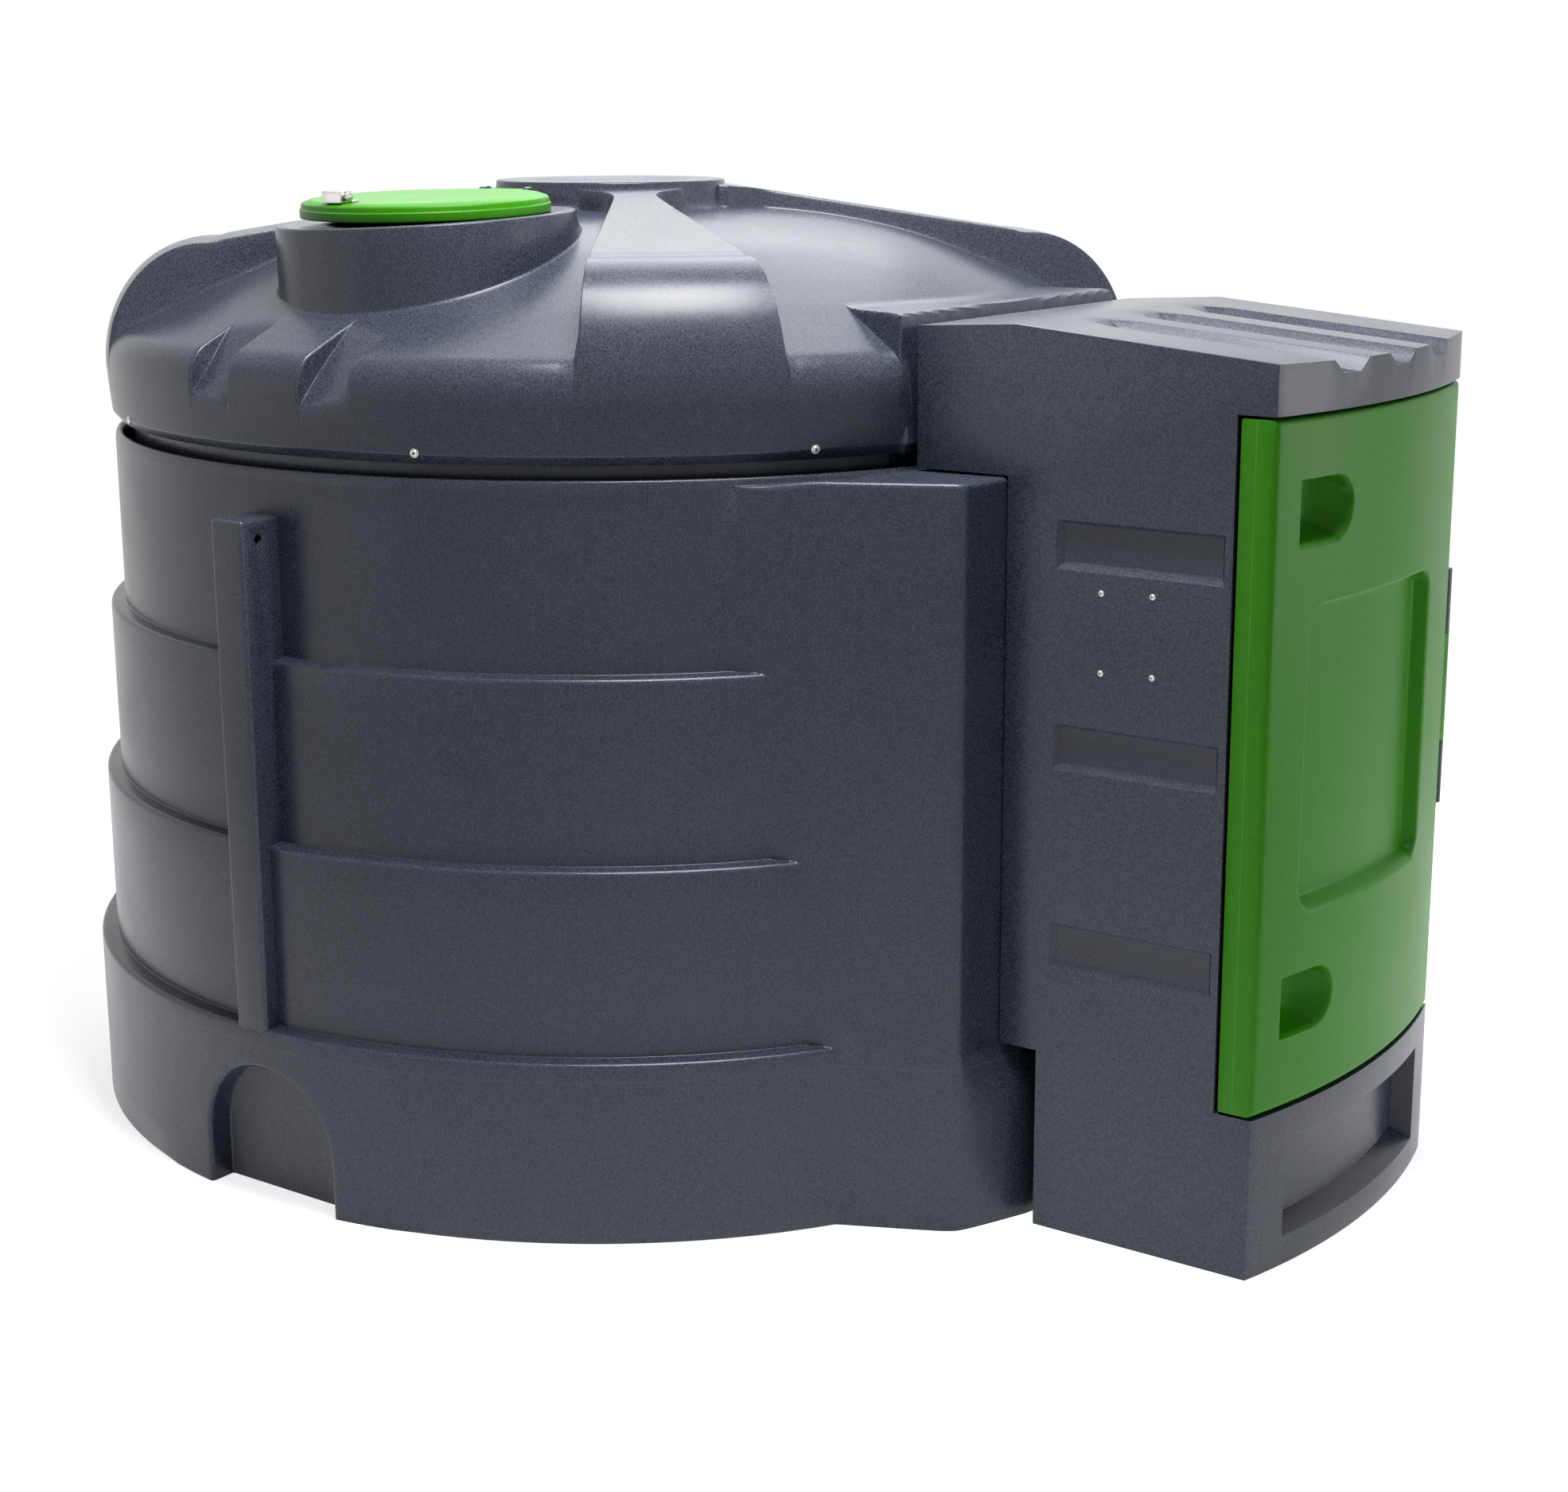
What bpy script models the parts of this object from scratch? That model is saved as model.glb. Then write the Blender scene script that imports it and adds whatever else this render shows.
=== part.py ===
# Bunded diesel fuel tank: a round inner tank with a domed roof, standing in a round bund,
# with a dispensing cabinet in front. Metres, +Z up. The origin is the tank's axis on the
# ground, +X points to the cabinet. "Left" is the -Y side and "right" is the +Y side.

import math
import bpy
import bmesh
from mathutils import Matrix, Vector

# General values
gap = 0.0003             # between pieces that touch
swing_gap = 0.0055       # between a moving piece and a fixed one
arc_step = math.radians(5.0)

# Bund: the outer shell, four courses that step in towards the rim
bund_wall = 0.008
skirt_radius = 1.150
course_step = 0.029
first_course_step = 0.004      # the skirt's own extra step
rim_height = 1.402
course_shares = (0.25107, 0.50428, 0.75321)   # tops of the lower courses, of the rim's height
course_tops = tuple(rim_height * share for share in course_shares)
edge_round = 0.007
bund_floor_thickness = 0.010

# Flat shoulders of the bund beside the cabinet, closed on top
shoulder_normal = math.radians(-64.3)
shoulder_offset = skirt_radius - 0.180
shoulder_corner_x = skirt_radius + 0.029
shoulder_rise = 0.006
shoulder_lip_width = 0.008
shoulder_top_drop = 0.010
shoulder_top_slope = 0.012
shoulder_top_angles = (-38.5, -19.5)
nose_front_x = skirt_radius + 0.045
nose_half_width = 0.400
skirt_nose_front_x = nose_front_x + 0.050
skirt_nose_half_width = nose_half_width - 0.055
nose_seam_height = course_tops[0] - 0.022
nose_step_rise = 0.006
nose_split_y = skirt_nose_half_width - 0.015

# Tie-down post and the arched pocket below it, one on each side
post_width = 0.080
post_front_radius = skirt_radius - 0.001
post_top = rim_height - 0.080
post_head = 0.075
interspace_margin = 0.010
post_eye_radius = 0.0085
post_eye_drop = 0.037
post_eye_depth = 0.042
pocket_half_width = 0.162
pocket_spring_height = course_tops[0] - 0.242
pocket_back = skirt_radius - 0.064
pocket_centre_x = 0.020
clear_cut = 0.100              # how far cutters run past the faces they cut

# Inner tank
tank_radius = skirt_radius - 0.130
tank_wall = 0.008
tank_floor_thickness = 0.008

# Dome, the roof of the inner tank
dome_wall = 0.009
dome_edge_height = rim_height + 0.035
dome_edge_radius = tank_radius + 0.035
dome_lip = 0.006
dome_bulge = 0.013
dome_bulge_height = 0.093
dome_rise = 0.407
dome_crown_height = dome_edge_height + dome_rise
dome_seat_depth = 0.012
# Skin above the bulge, as (share of the edge radius, share of the rise)
dome_curve = ((1.0100, 0.2850), (1.0000, 0.3366), (0.9801, 0.3980), (0.9479, 0.4619),
              (0.9005, 0.5307), (0.8057, 0.6413), (0.6768, 0.7740), (0.5687, 0.8698),
              (0.4265, 0.9459), (0.2844, 0.9853))
# Underside, as (share of the edge radius, share of the rise, walls below the skin)
dome_lining = ((0.9479, 0.4619, 1.0), (0.8057, 0.6413, 1.2), (0.5687, 0.8698, 1.1),
               (0.2844, 0.9853, 1.0), (0.0, 1.0, 1.0))
hub_radius = 0.240
hub_height = dome_crown_height + 0.049
hub_foot_flare = 0.010
hub_root_depth = 0.093
hub_edge = 0.006
hub_dish_radius = 0.170
hub_dish_slope = 0.020
hub_dish_depth = 0.006
rib_crest_start = hub_height - 0.008
rib_slope = 0.16
rib_root_overlap = 0.030
rib_outer_radius = dome_edge_radius + 0.0145
rib_bend_radius = rib_outer_radius - 0.2035
rib_bend_height = dome_edge_height + 0.153
rib_foot_height = dome_edge_height + 0.098
rib_root_half_width = 0.065
rib_root_reach = 0.410
rib_flare = 0.19
platform_front_x = tank_radius - 0.040  # the tank and the dome are flat here, towards the cabinet
platform_half_width = 0.385
platform_height = dome_crown_height - 0.159
platform_root = 0.430
platform_base = dome_edge_height + 0.063

# Manhole on the left quarter of the dome
dome_slope_width = dome_edge_radius - hub_radius
neck_reach = hub_radius + dome_slope_width * 0.454
neck_foot_radius = dome_slope_width * 0.373
neck_top_radius = neck_foot_radius - 0.014
neck_height = dome_crown_height - 0.006
neck_collar = 0.178
neck_base = neck_height - 0.238
neck_edge = 0.006
neck_lean = 0.045        # rise of the neck's top towards the hub, per metre
throat_radius = neck_top_radius - 0.100

# Notches in the dome's shoulder, as angles round the axis
notch_angles = (-100.3, -84.0)
notch_width = 6.2
notch_out = 0.120
# Floor of a notch at its wall and where it meets the skin, as (share of the edge radius, share of the rise)
notch_deep = ((0.8957, 0.5528), (1.0142, 0.2236))
notch_flush = ((0.8815, 0.5577), (1.0133, 0.2064))

# Cabinet
cabinet_half_width = 0.390
cabinet_wall = 0.008
cabinet_front_radius = 1.507
cabinet_front_x = nose_front_x + 0.569
cabinet_side_front_x = cabinet_front_x - 0.124
cabinet_foot_back_x = skirt_nose_front_x + 0.029
cabinet_foot_height = nose_seam_height + 0.015
hood_back_x = platform_front_x + 0.023
roof_crest_x = nose_front_x + 0.010
roof_crest_height = rim_height + 0.274
roof_back_height = roof_crest_height - 0.011
roof_front_height = roof_crest_height - 0.048
roof_thickness = 0.010
roof_edge = 0.008
roof_chamfer = 0.012
brow_bottom = roof_front_height - 0.083
plinth_height = 0.303
plinth_thickness = 0.050
plinth_recess_half_width = 0.287
plinth_recess_bottom = 0.055
plinth_recess_top = plinth_height - 0.060
plinth_recess_depth = 0.025
cabinet_floor_thickness = 0.010

# Grooves in the roof and recesses in the side walls
groove_spacing = 0.186
groove_top_width = 0.090
groove_bottom_width = 0.055
groove_depth = 0.024
groove_start_x = roof_crest_x + 0.080
# Bottom and top of each recess, as shares of the door opening's height
side_recess_shares = ((0.1659, 0.2375), (0.4686, 0.5378), (0.7625, 0.8349))
side_recess_back_x = cabinet_foot_back_x + 0.022
side_recess_front_x = cabinet_side_front_x - 0.018
side_recess_depth = 0.014
side_recess_corner = 0.012

# Door
door_middle = (plinth_height + brow_bottom) * 0.5
door_right_y = cabinet_half_width - 0.002
pocket_height = 0.114
pocket_left_y = -0.322
pocket_right_y = -0.163
pocket_depth = 0.042
pocket_bottoms = (plinth_height + 0.135, brow_bottom - 0.225)
panel_left_y = -0.281
panel_right_y = 0.203
panel_bottom = plinth_height + 0.362
panel_top = brow_bottom - 0.332
panel_depth = 0.030
panel_corner = 0.040

# Door hinge
hinge_x = cabinet_front_x - 0.064
hinge_y = cabinet_half_width + 0.015
knuckle_radius = 0.012
knuckle_back = 0.045
knuckle_front = 0.010
knuckle_root = 0.004
knuckle_shoulder = 0.016
pin_radius = 0.005
pin_clearance = 0.0003
knuckle_bottom = door_middle - 0.084
knuckle_top = door_middle + 0.129
lug_height = 0.125
lug_foot_back_x = hinge_x - 0.125
lug_slope = 0.020

# Manhole lid
lid_radius = throat_radius + 0.035
lid_thickness = 0.036
lid_lip_gap = 0.006
lid_hinge_reach = neck_reach - lid_radius - 0.033
lid_tongue_half_width = 0.050
lid_tongue_inset = 0.003
lid_foot = 0.004
lid_bevel = 0.008
lid_ear_width = 0.015
lid_ear_radius = 0.019
lid_pin_radius = 0.006
lock_edge_inset = 0.012
lock_half_width = 0.030
lock_length = 0.045
lock_height = 0.026


def clear_scene():
    for thing in list(bpy.data.objects):
        bpy.data.objects.remove(thing, do_unlink=True)


def make_material(name, colour, roughness, metallic=0.0):
    material = bpy.data.materials.new(name)
    material.use_nodes = True
    shader = material.node_tree.nodes["Principled BSDF"]
    shader.inputs["Base Color"].default_value = (*colour, 1.0)
    shader.inputs["Roughness"].default_value = roughness
    shader.inputs["Metallic"].default_value = metallic
    return material


def add_object(name, mesh_builder, material=None, smooth_angle=35.0):
    """Turns a finished bmesh into a named object."""
    bmesh.ops.recalc_face_normals(mesh_builder, faces=mesh_builder.faces)
    mesh = bpy.data.meshes.new(name)
    mesh_builder.to_mesh(mesh)
    mesh_builder.free()
    thing = bpy.data.objects.new(name, mesh)
    bpy.context.collection.objects.link(thing)
    if material:
        mesh.materials.append(material)
    mesh.shade_smooth()
    mesh.set_sharp_from_angle(angle=math.radians(smooth_angle))
    return thing


def as_cutter(thing):
    thing.hide_render = True
    thing.display_type = "WIRE"
    return thing


def combine(target, other, operation):
    modifier = target.modifiers.new(operation.title(), "BOOLEAN")
    modifier.operation = operation
    modifier.solver = "EXACT"
    modifier.object = as_cutter(other)


def join_rows(builder, rows):
    """Faces between closed rows of vertices; a row of one vertex is the tip of a fan."""
    for lower, upper in zip(rows, rows[1:]):
        count = max(len(lower), len(upper))
        for k in range(count):
            following = (k + 1) % count
            if len(lower) == 1:
                builder.faces.new((lower[0], upper[following], upper[k]))
            elif len(upper) == 1:
                builder.faces.new((lower[k], lower[following], upper[0]))
            else:
                builder.faces.new((lower[k], lower[following], upper[following], upper[k]))


def loft(rings):
    """Joins closed rings of equal length, one after the other, into a solid."""
    builder = bmesh.new()
    rows = [[builder.verts.new(point) for point in ring] for ring in rings]
    join_rows(builder, rows)
    builder.faces.new(rows[0][::-1])
    builder.faces.new(rows[-1])
    return builder


def prism(outline, low, high, axis="Z"):
    """Extrudes an outline: (x, y) along Z, (x, z) along Y or (y, z) along X."""
    place = {"Z": lambda a, b, c: (a, b, c), "Y": lambda a, b, c: (a, c, b),
             "X": lambda a, b, c: (c, a, b)}[axis]
    return loft([[place(a, b, level) for a, b in outline] for level in (low, high)])


def box(low, high):
    outline = [(low[0], low[1]), (high[0], low[1]), (high[0], high[1]), (low[0], high[1])]
    return prism(outline, low[2], high[2])


def circle(radius, centre=(0.0, 0.0), steps=32):
    turn = 2.0 * math.pi / steps
    return [(centre[0] + radius * math.cos(k * turn), centre[1] + radius * math.sin(k * turn))
            for k in range(steps)]


def rounded_rectangle(low, high, radius, steps=4):
    """Corner points run anticlockwise from the lower right."""
    points = []
    corners = ((high[0] - radius, low[1] + radius, -90), (high[0] - radius, high[1] - radius, 0),
               (low[0] + radius, high[1] - radius, 90), (low[0] + radius, low[1] + radius, 180))
    for x, y, start in corners:
        for k in range(steps + 1):
            angle = math.radians(start + 90.0 * k / steps)
            points.append((x + radius * math.cos(angle), y + radius * math.sin(angle)))
    return points


def spun(profile, centre=(0.0, 0.0), steps=48):
    """Turns a (radius, height) profile that starts and ends on the axis into a solid."""
    builder = bmesh.new()
    rows = []
    for radius, height in profile:
        outline = circle(radius, centre, steps) if radius else [centre]
        rows.append([builder.verts.new((x, y, height)) for x, y in outline])
    join_rows(builder, rows)
    return builder


# Bund

def course_radius(number):
    return skirt_radius - course_step * number - (first_course_step if number else 0.0)


def bund_levels(inset):
    """(height, circle radius) from the ground to the rim, for the outer or the inner skin."""
    outer = inset == 0.0
    drop = 0.0 if outer else bund_wall * 0.6
    levels = [(0.0, skirt_radius - inset)]
    for number, top in enumerate(course_tops):
        radius = course_radius(number) - inset
        above = course_radius(number + 1) - inset
        if outer:
            levels.append((top - edge_round, radius))
            levels.append((top - edge_round * 0.3, radius - edge_round * 0.3))
            levels.append((top + edge_round * 0.3, above + edge_round * 0.5))
        else:
            levels.append((top - drop, radius))
        levels.append((top + edge_round - drop, above))
    top_radius = course_radius(len(course_tops)) - inset
    if outer:
        levels.append((rim_height - edge_round * 0.5, top_radius))
        levels.append((rim_height, top_radius - edge_round * 0.5))
    else:
        levels.append((rim_height, top_radius))
    return levels


def shoulder_levels(inset):
    """The wall's levels with the step of the nose added low down."""
    levels = bund_levels(inset)
    step = nose_seam_height - inset
    return [levels[0], (step, levels[0][1]), (step + nose_step_rise, levels[0][1])] + levels[1:]


def skin_profile(levels_of):
    """Outer skin going up and inner skin coming down, as (inset, height, radius)."""
    profile = [(0.0, z, r) for z, r in levels_of(0.0)]
    profile += [(bund_wall, z, r) for z, r in reversed(levels_of(bund_wall))]
    return profile


def arc_point(radius, angle, z):
    return radius * math.cos(angle), radius * math.sin(angle), z


def wall_arc(name, start, end, material):
    """One stretch of the bund's round wall, between two angles in degrees."""
    trim = gap * 0.5 / skirt_radius
    first = math.radians(start) + trim
    last = math.radians(end) - trim
    steps = max(1, round((last - first) / arc_step))
    rings = []
    for k in range(steps + 1):
        angle = first + (last - first) * k / steps
        rings.append([arc_point(r, angle, z) for _, z, r in skin_profile(bund_levels)])
    return add_object(name, loft(rings), material)


def shoulder_start(radius, inset):
    """Angle at which a course's circle runs into the flat shoulder."""
    return shoulder_normal + math.acos((shoulder_offset - inset) / radius)


def shoulder_y(x, inset):
    """Y of the flat shoulder's face at a given x."""
    return (shoulder_offset - inset - math.cos(shoulder_normal) * x) / math.sin(shoulder_normal)


def lifted(z):
    return z + shoulder_rise if z > rim_height - 2.0 * edge_round else z


def below_step(z, inset):
    return z < nose_seam_height - inset + nose_step_rise * 0.5


def nose_x(z, inset):
    return (skirt_nose_front_x if below_step(z, inset) else nose_front_x) - inset


def nose_y(z, inset):
    half_width = skirt_nose_half_width if below_step(z, inset) else nose_half_width
    return -half_width + inset * 0.5


def corner_points(inset, z, radius, start):
    """Plan of the left corner: the round wall runs into a flat shoulder, turns and meets the nose."""
    end = shoulder_start(radius, inset)
    points = [arc_point(radius, start + (end - start) * share, z) for share in (0.0, 0.35, 0.7, 1.0)]
    x = shoulder_corner_x - inset
    points.append((x, shoulder_y(x, inset), lifted(z)))
    points.append((nose_x(z, inset), nose_y(z, inset), lifted(z)))
    return points


def bund_corner(name, side, material):
    seam_angle = -math.radians(45.0) + gap * 0.5 / skirt_radius
    end_y = -nose_split_y - gap * 0.5
    columns = []
    for inset, z, radius in skin_profile(shoulder_levels):
        column = corner_points(inset, z, radius, seam_angle)
        columns.append(column + [(nose_x(z, inset), end_y, lifted(z))])
    rings = [[(x, -side * y, z) for x, y, z in ring] for ring in zip(*columns)]
    return add_object(name, loft(rings), material)


def bund_front_wall(material):
    end_y = nose_split_y - gap * 0.5
    outline = [(nose_x(z, inset), lifted(z)) for inset, z, _ in skin_profile(shoulder_levels)]
    return add_object("bund_front_wall", prism(outline, -end_y, end_y, "Y"), material)


def arch_outline(grow, foot):
    """Arched outline in x and z; foot is the height where its legs start."""
    half_width = pocket_half_width + grow
    points = [(pocket_centre_x + half_width, foot)]
    for k in range(13):
        angle = math.pi * k / 12
        points.append((pocket_centre_x + half_width * math.cos(angle),
                       pocket_spring_height + half_width * math.sin(angle)))
    points.append((pocket_centre_x - half_width, foot))
    return points


def add_post_and_pocket(wall, side):
    """Adds the hollow tie-down post, and the arched pocket in the skirt, to one wall."""
    upright = course_tops[0] - edge_round * 2.0
    back = course_radius(3) - bund_wall * 0.6
    half = post_width * 0.5
    post = add_object(wall.name + "_post", box(
        (-half, min(side * post_front_radius, side * back), upright),
        (half, max(side * post_front_radius, side * back), post_top)))
    combine(wall, post, "UNION")
    plug = add_object(wall.name + "_plug", prism(
        arch_outline(bund_wall, 0.0), side * (pocket_back - bund_wall), side * skirt_radius, "Y"))
    trim = add_object(wall.name + "_plug_trim", prism(
        circle(skirt_radius - bund_wall * 0.5, steps=72), -clear_cut, course_tops[0]))
    combine(plug, trim, "INTERSECT")
    combine(wall, plug, "UNION")
    arch = add_object(wall.name + "_arch", prism(
        arch_outline(0.0, -clear_cut), side * pocket_back, side * (skirt_radius + clear_cut), "Y"))
    combine(wall, arch, "DIFFERENCE")
    inner = half - bund_wall
    deep = tank_radius + interspace_margin
    shallow = post_front_radius - bund_wall
    hollow = add_object(wall.name + "_hollow", box(
        (-inner, min(side * deep, side * shallow), upright + bund_wall),
        (inner, max(side * deep, side * shallow), post_top - post_head)))
    combine(wall, hollow, "DIFFERENCE")
    eye_centre = (side * (post_front_radius - post_eye_depth), post_top - post_eye_drop)
    eye = add_object(wall.name + "_eye", prism(
        circle(post_eye_radius, eye_centre, 16), -post_width, post_width, "X"))
    combine(wall, eye, "DIFFERENCE")


def bund_floor(material):
    """Floor plate inside the walls, cut away behind the two pockets."""
    inset = bund_wall + gap
    radius = skirt_radius - inset
    outline = [arc_point(radius, math.radians(5.0 * k), 0.0)[:2] for k in range(10, 63)]
    corner = [point[:2] for point in corner_points(inset, 0.0, radius, -math.radians(45.0))]
    outline += corner + [(x, -y) for x, y in reversed(corner)]
    floor = add_object("bund_floor", prism(outline, 0.0, bund_floor_thickness), material)
    for side in (-1, 1):
        clear = add_object(f"bund_floor_cut_{side}", prism(
            arch_outline(bund_wall + gap, -clear_cut), side * (pocket_back - bund_wall - gap),
            side * (skirt_radius + clear_cut), "Y"))
        combine(floor, clear, "DIFFERENCE")
    return floor


def shoulder_inner_radius(angle):
    """Distance from the axis to the inner skin of the shoulder's wall near the top."""
    inset = bund_wall + gap
    flat = (shoulder_offset - inset) / math.cos(angle - shoulder_normal)
    x = shoulder_corner_x - inset
    corner_y = shoulder_y(x, inset)
    end_x = nose_front_x - inset
    end_y = -nose_half_width + inset * 0.5
    # The end face runs from the shoulder's corner back to the nose
    normal_x = corner_y - end_y
    normal_y = end_x - x
    end = (normal_x * x + normal_y * corner_y) / (normal_x * math.cos(angle) + normal_y * math.sin(angle))
    return min(flat, end)


def shoulder_top(name, side, material):
    """Plate that closes a shoulder's top, with the rim standing up along its inner edge."""
    first, last = (math.radians(angle) for angle in shoulder_top_angles)
    corner = math.atan2(shoulder_y(shoulder_corner_x, 0.0), shoulder_corner_x)
    inner = course_radius(len(course_tops)) - bund_wall
    lip = inner + shoulder_lip_width
    top = rim_height - shoulder_top_drop
    bottom = top - bund_wall
    angles = [first + (corner - first) * share for share in (0.0, 0.25, 0.5, 0.75)]
    angles += [corner + (last - corner) * share for share in (0.0, 0.5, 1.0)]
    rings = []
    for angle in angles:
        outer = shoulder_inner_radius(angle)
        section = ((inner, bottom), (outer, bottom + shoulder_top_slope), (outer, top + shoulder_top_slope),
                   (lip, top), (lip, rim_height), (inner, rim_height))
        rings.append([arc_point(r, angle, z) for r, z in section])
    rings = [[(x, -side * y, z) for x, y, z in ring] for ring in rings]
    return add_object(name, loft(rings), material)


def build_bund(material):
    arcs = {
        "bund_wall_right_front": (45, 70), "bund_wall_right_post": (70, 110),
        "bund_wall_right_rear": (110, 155), "bund_wall_rear": (155, 205),
        "bund_wall_left_rear": (205, 250), "bund_wall_left_post": (250, 290),
        "bund_wall_left_front": (290, 315),
    }
    walls = {name: wall_arc(name, start, end, material) for name, (start, end) in arcs.items()}
    add_post_and_pocket(walls["bund_wall_left_post"], -1)
    add_post_and_pocket(walls["bund_wall_right_post"], 1)
    bund_corner("bund_corner_left", -1, material)
    bund_corner("bund_corner_right", 1, material)
    bund_front_wall(material)
    shoulder_top("shoulder_top_left", -1, material)
    shoulder_top("shoulder_top_right", 1, material)
    bund_floor(material)


# Inner tank

def flat_front(points, inset=0.0):
    """Cuts a round outline off straight on the side that faces the cabinet."""
    return [(min(point[0], platform_front_x - inset), *point[1:]) for point in points]


def build_inner_tank(material):
    floor_bottom = bund_floor_thickness + gap
    floor_top = floor_bottom + tank_floor_thickness
    outline = flat_front(circle(tank_radius, steps=72))
    add_object("tank_floor", prism(outline, floor_bottom, floor_top), material)
    wall_bottom = floor_top + gap
    wall_top = dome_edge_height - gap
    inner = tank_radius - tank_wall
    names = ("front", "right_front", "right", "right_rear", "rear", "left_rear", "left", "left_front")
    trim = gap * 0.5 / inner
    half_turn = math.pi / len(names)
    steps = round(2.0 * half_turn / arc_step)
    for number, name in enumerate(names):
        start = (2 * number - 1) * half_turn + trim
        end = (2 * number + 1) * half_turn - trim
        rings = []
        for k in range(steps + 1):
            angle = start + (end - start) * k / steps
            ring = flat_front([arc_point(inner, angle, z) for z in (wall_top, wall_bottom)], tank_wall)
            ring += flat_front([arc_point(tank_radius, angle, z) for z in (wall_bottom, wall_top)])
            rings.append(ring)
        add_object("tank_wall_" + name, loft(rings), material)


# Dome

def on_dome(radius_share, rise_share):
    return dome_edge_radius * radius_share, dome_edge_height + dome_rise * rise_share


def dome_skin():
    """Outer skin of the plain dome, from its lower edge to the axis, as (radius, height)."""
    return [
        (dome_edge_radius - dome_lip * 0.7, dome_edge_height),
        (dome_edge_radius + dome_lip * 0.3, dome_edge_height + dome_lip),
        (dome_edge_radius + dome_bulge * 0.6, dome_edge_height + dome_bulge_height * 0.5),
        (dome_edge_radius + dome_bulge, dome_edge_height + dome_bulge_height),
    ] + [on_dome(*point) for point in dome_curve]


def rib_line(inset):
    """(radius, crest height) along a rib: a straight slope, then a round drop to the side."""
    start = hub_radius - rib_root_overlap
    line = []
    for share in (0.0, 0.29, 0.52, 0.75, 0.90):
        r = start + (rib_bend_radius - start) * share
        line.append((r, rib_crest_start - (r - hub_radius) * rib_slope - inset))
    reach = rib_outer_radius - rib_bend_radius
    drop = rib_crest_start - (rib_bend_radius - hub_radius) * rib_slope - rib_bend_height
    for k in range(9):
        turn = math.pi * 0.5 * k / 8
        line.append((rib_bend_radius + (reach - inset) * math.sin(turn),
                     rib_bend_height + (drop - inset) * math.cos(turn)))
    return line


def ribs(name, inset=0.0):
    """The four ribs as solids, or with an inset the hollows under them."""
    builder = bmesh.new()
    foot_radius = dome_edge_radius + dome_bulge - dome_lip * 0.33 - inset * 2.5
    foot_share = foot_radius / (rib_outer_radius - inset)
    foot_height = rib_foot_height + inset
    for number in range(4):
        middle = math.radians(45.0 + 90.0 * number)
        rows = []
        for radius, crest in rib_line(inset):
            half_width = rib_root_half_width + (radius - rib_root_reach) * rib_flare - inset
            spread = math.asin(half_width / radius)
            sides = [middle + spread * share for share in (-1.0, -0.5, 0.0, 0.5, 1.0)]
            ring = [arc_point(radius, angle, crest) for angle in sides]
            ring += [arc_point(radius * foot_share, angle, foot_height) for angle in reversed(sides)]
            rows.append([builder.verts.new(point) for point in ring])
        join_rows(builder, rows)
        builder.faces.new(rows[0][::-1])
        builder.faces.new(rows[-1])
    return add_object(name, builder)


def lean(thing):
    """Tips a piece of the manhole with the neck, about the middle of the neck's top."""
    centre = Vector((0.0, -neck_reach, neck_height))
    turn = Matrix.Rotation(math.atan(neck_lean), 4, "X")
    thing.data.transform(Matrix.Translation(centre) @ turn @ Matrix.Translation(-centre))
    return thing


def notch_wedge(name, angle, side, grow=0.0):
    """Wedge with an upright wall on one edge and a floor that rises to the skin on the other."""
    wall = math.radians(angle) - grow
    edge = math.radians(angle + notch_width) + grow
    out = notch_out
    rings = []
    for deep, flush in zip(notch_deep, notch_flush):
        deep_r, deep_z = on_dome(*deep)
        flush_r, flush_z = on_dome(*flush)
        rings.append([(deep_r - grow, wall, deep_z - grow), (deep_r + out, wall, deep_z + out),
                      (flush_r + out, edge, flush_z + out), (flush_r - grow, edge, flush_z - grow)])
    rings = [[arc_point(r, a if side < 0 else -a, z) for r, a, z in ring] for ring in rings]
    return add_object(name, loft(rings))


def dome_outside(material):
    """The whole dome as a solid: crown, hub, ribs, manhole neck and platform."""
    skin = [(0.0, dome_edge_height)] + dome_skin() + [(0.0, dome_crown_height)]
    dome = add_object("dome", spun(skin, steps=72), material)
    combine(dome, ribs("dome_ribs"), "UNION")
    root = hub_height - hub_root_depth
    hub = [(0.0, root), (hub_radius + hub_foot_flare, root),
           (hub_radius, dome_crown_height + hub_foot_flare),
           (hub_radius, hub_height - hub_edge), (hub_radius - hub_edge, hub_height),
           (hub_dish_radius, hub_height), (hub_dish_radius - hub_dish_slope, hub_height - hub_dish_depth),
           (0.0, hub_height - hub_dish_depth)]
    combine(dome, add_object("dome_hub", spun(hub)), "UNION")
    neck = [(0.0, neck_base), (neck_foot_radius, neck_base), (neck_foot_radius, neck_height - neck_collar),
            (neck_top_radius, neck_height - neck_edge), (neck_top_radius - neck_edge, neck_height),
            (0.0, neck_height)]
    combine(dome, lean(add_object("dome_neck", spun(neck, (0.0, -neck_reach)))), "UNION")
    half = platform_half_width
    platform = box((platform_front_x - platform_root, -half, platform_base),
                   (platform_front_x + clear_cut, half, platform_height))
    combine(dome, add_object("dome_platform", platform), "UNION")
    combine(dome, add_object("dome_front", front_block(platform_front_x)), "DIFFERENCE")
    return dome


def front_block(back_x):
    """Block that covers all of the dome in front of a given x."""
    wide = dome_edge_radius * 0.6
    return box((back_x, -wide, dome_edge_height - 2.0 * clear_cut),
               (rib_outer_radius + clear_cut, wide, hub_height + clear_cut))


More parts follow.
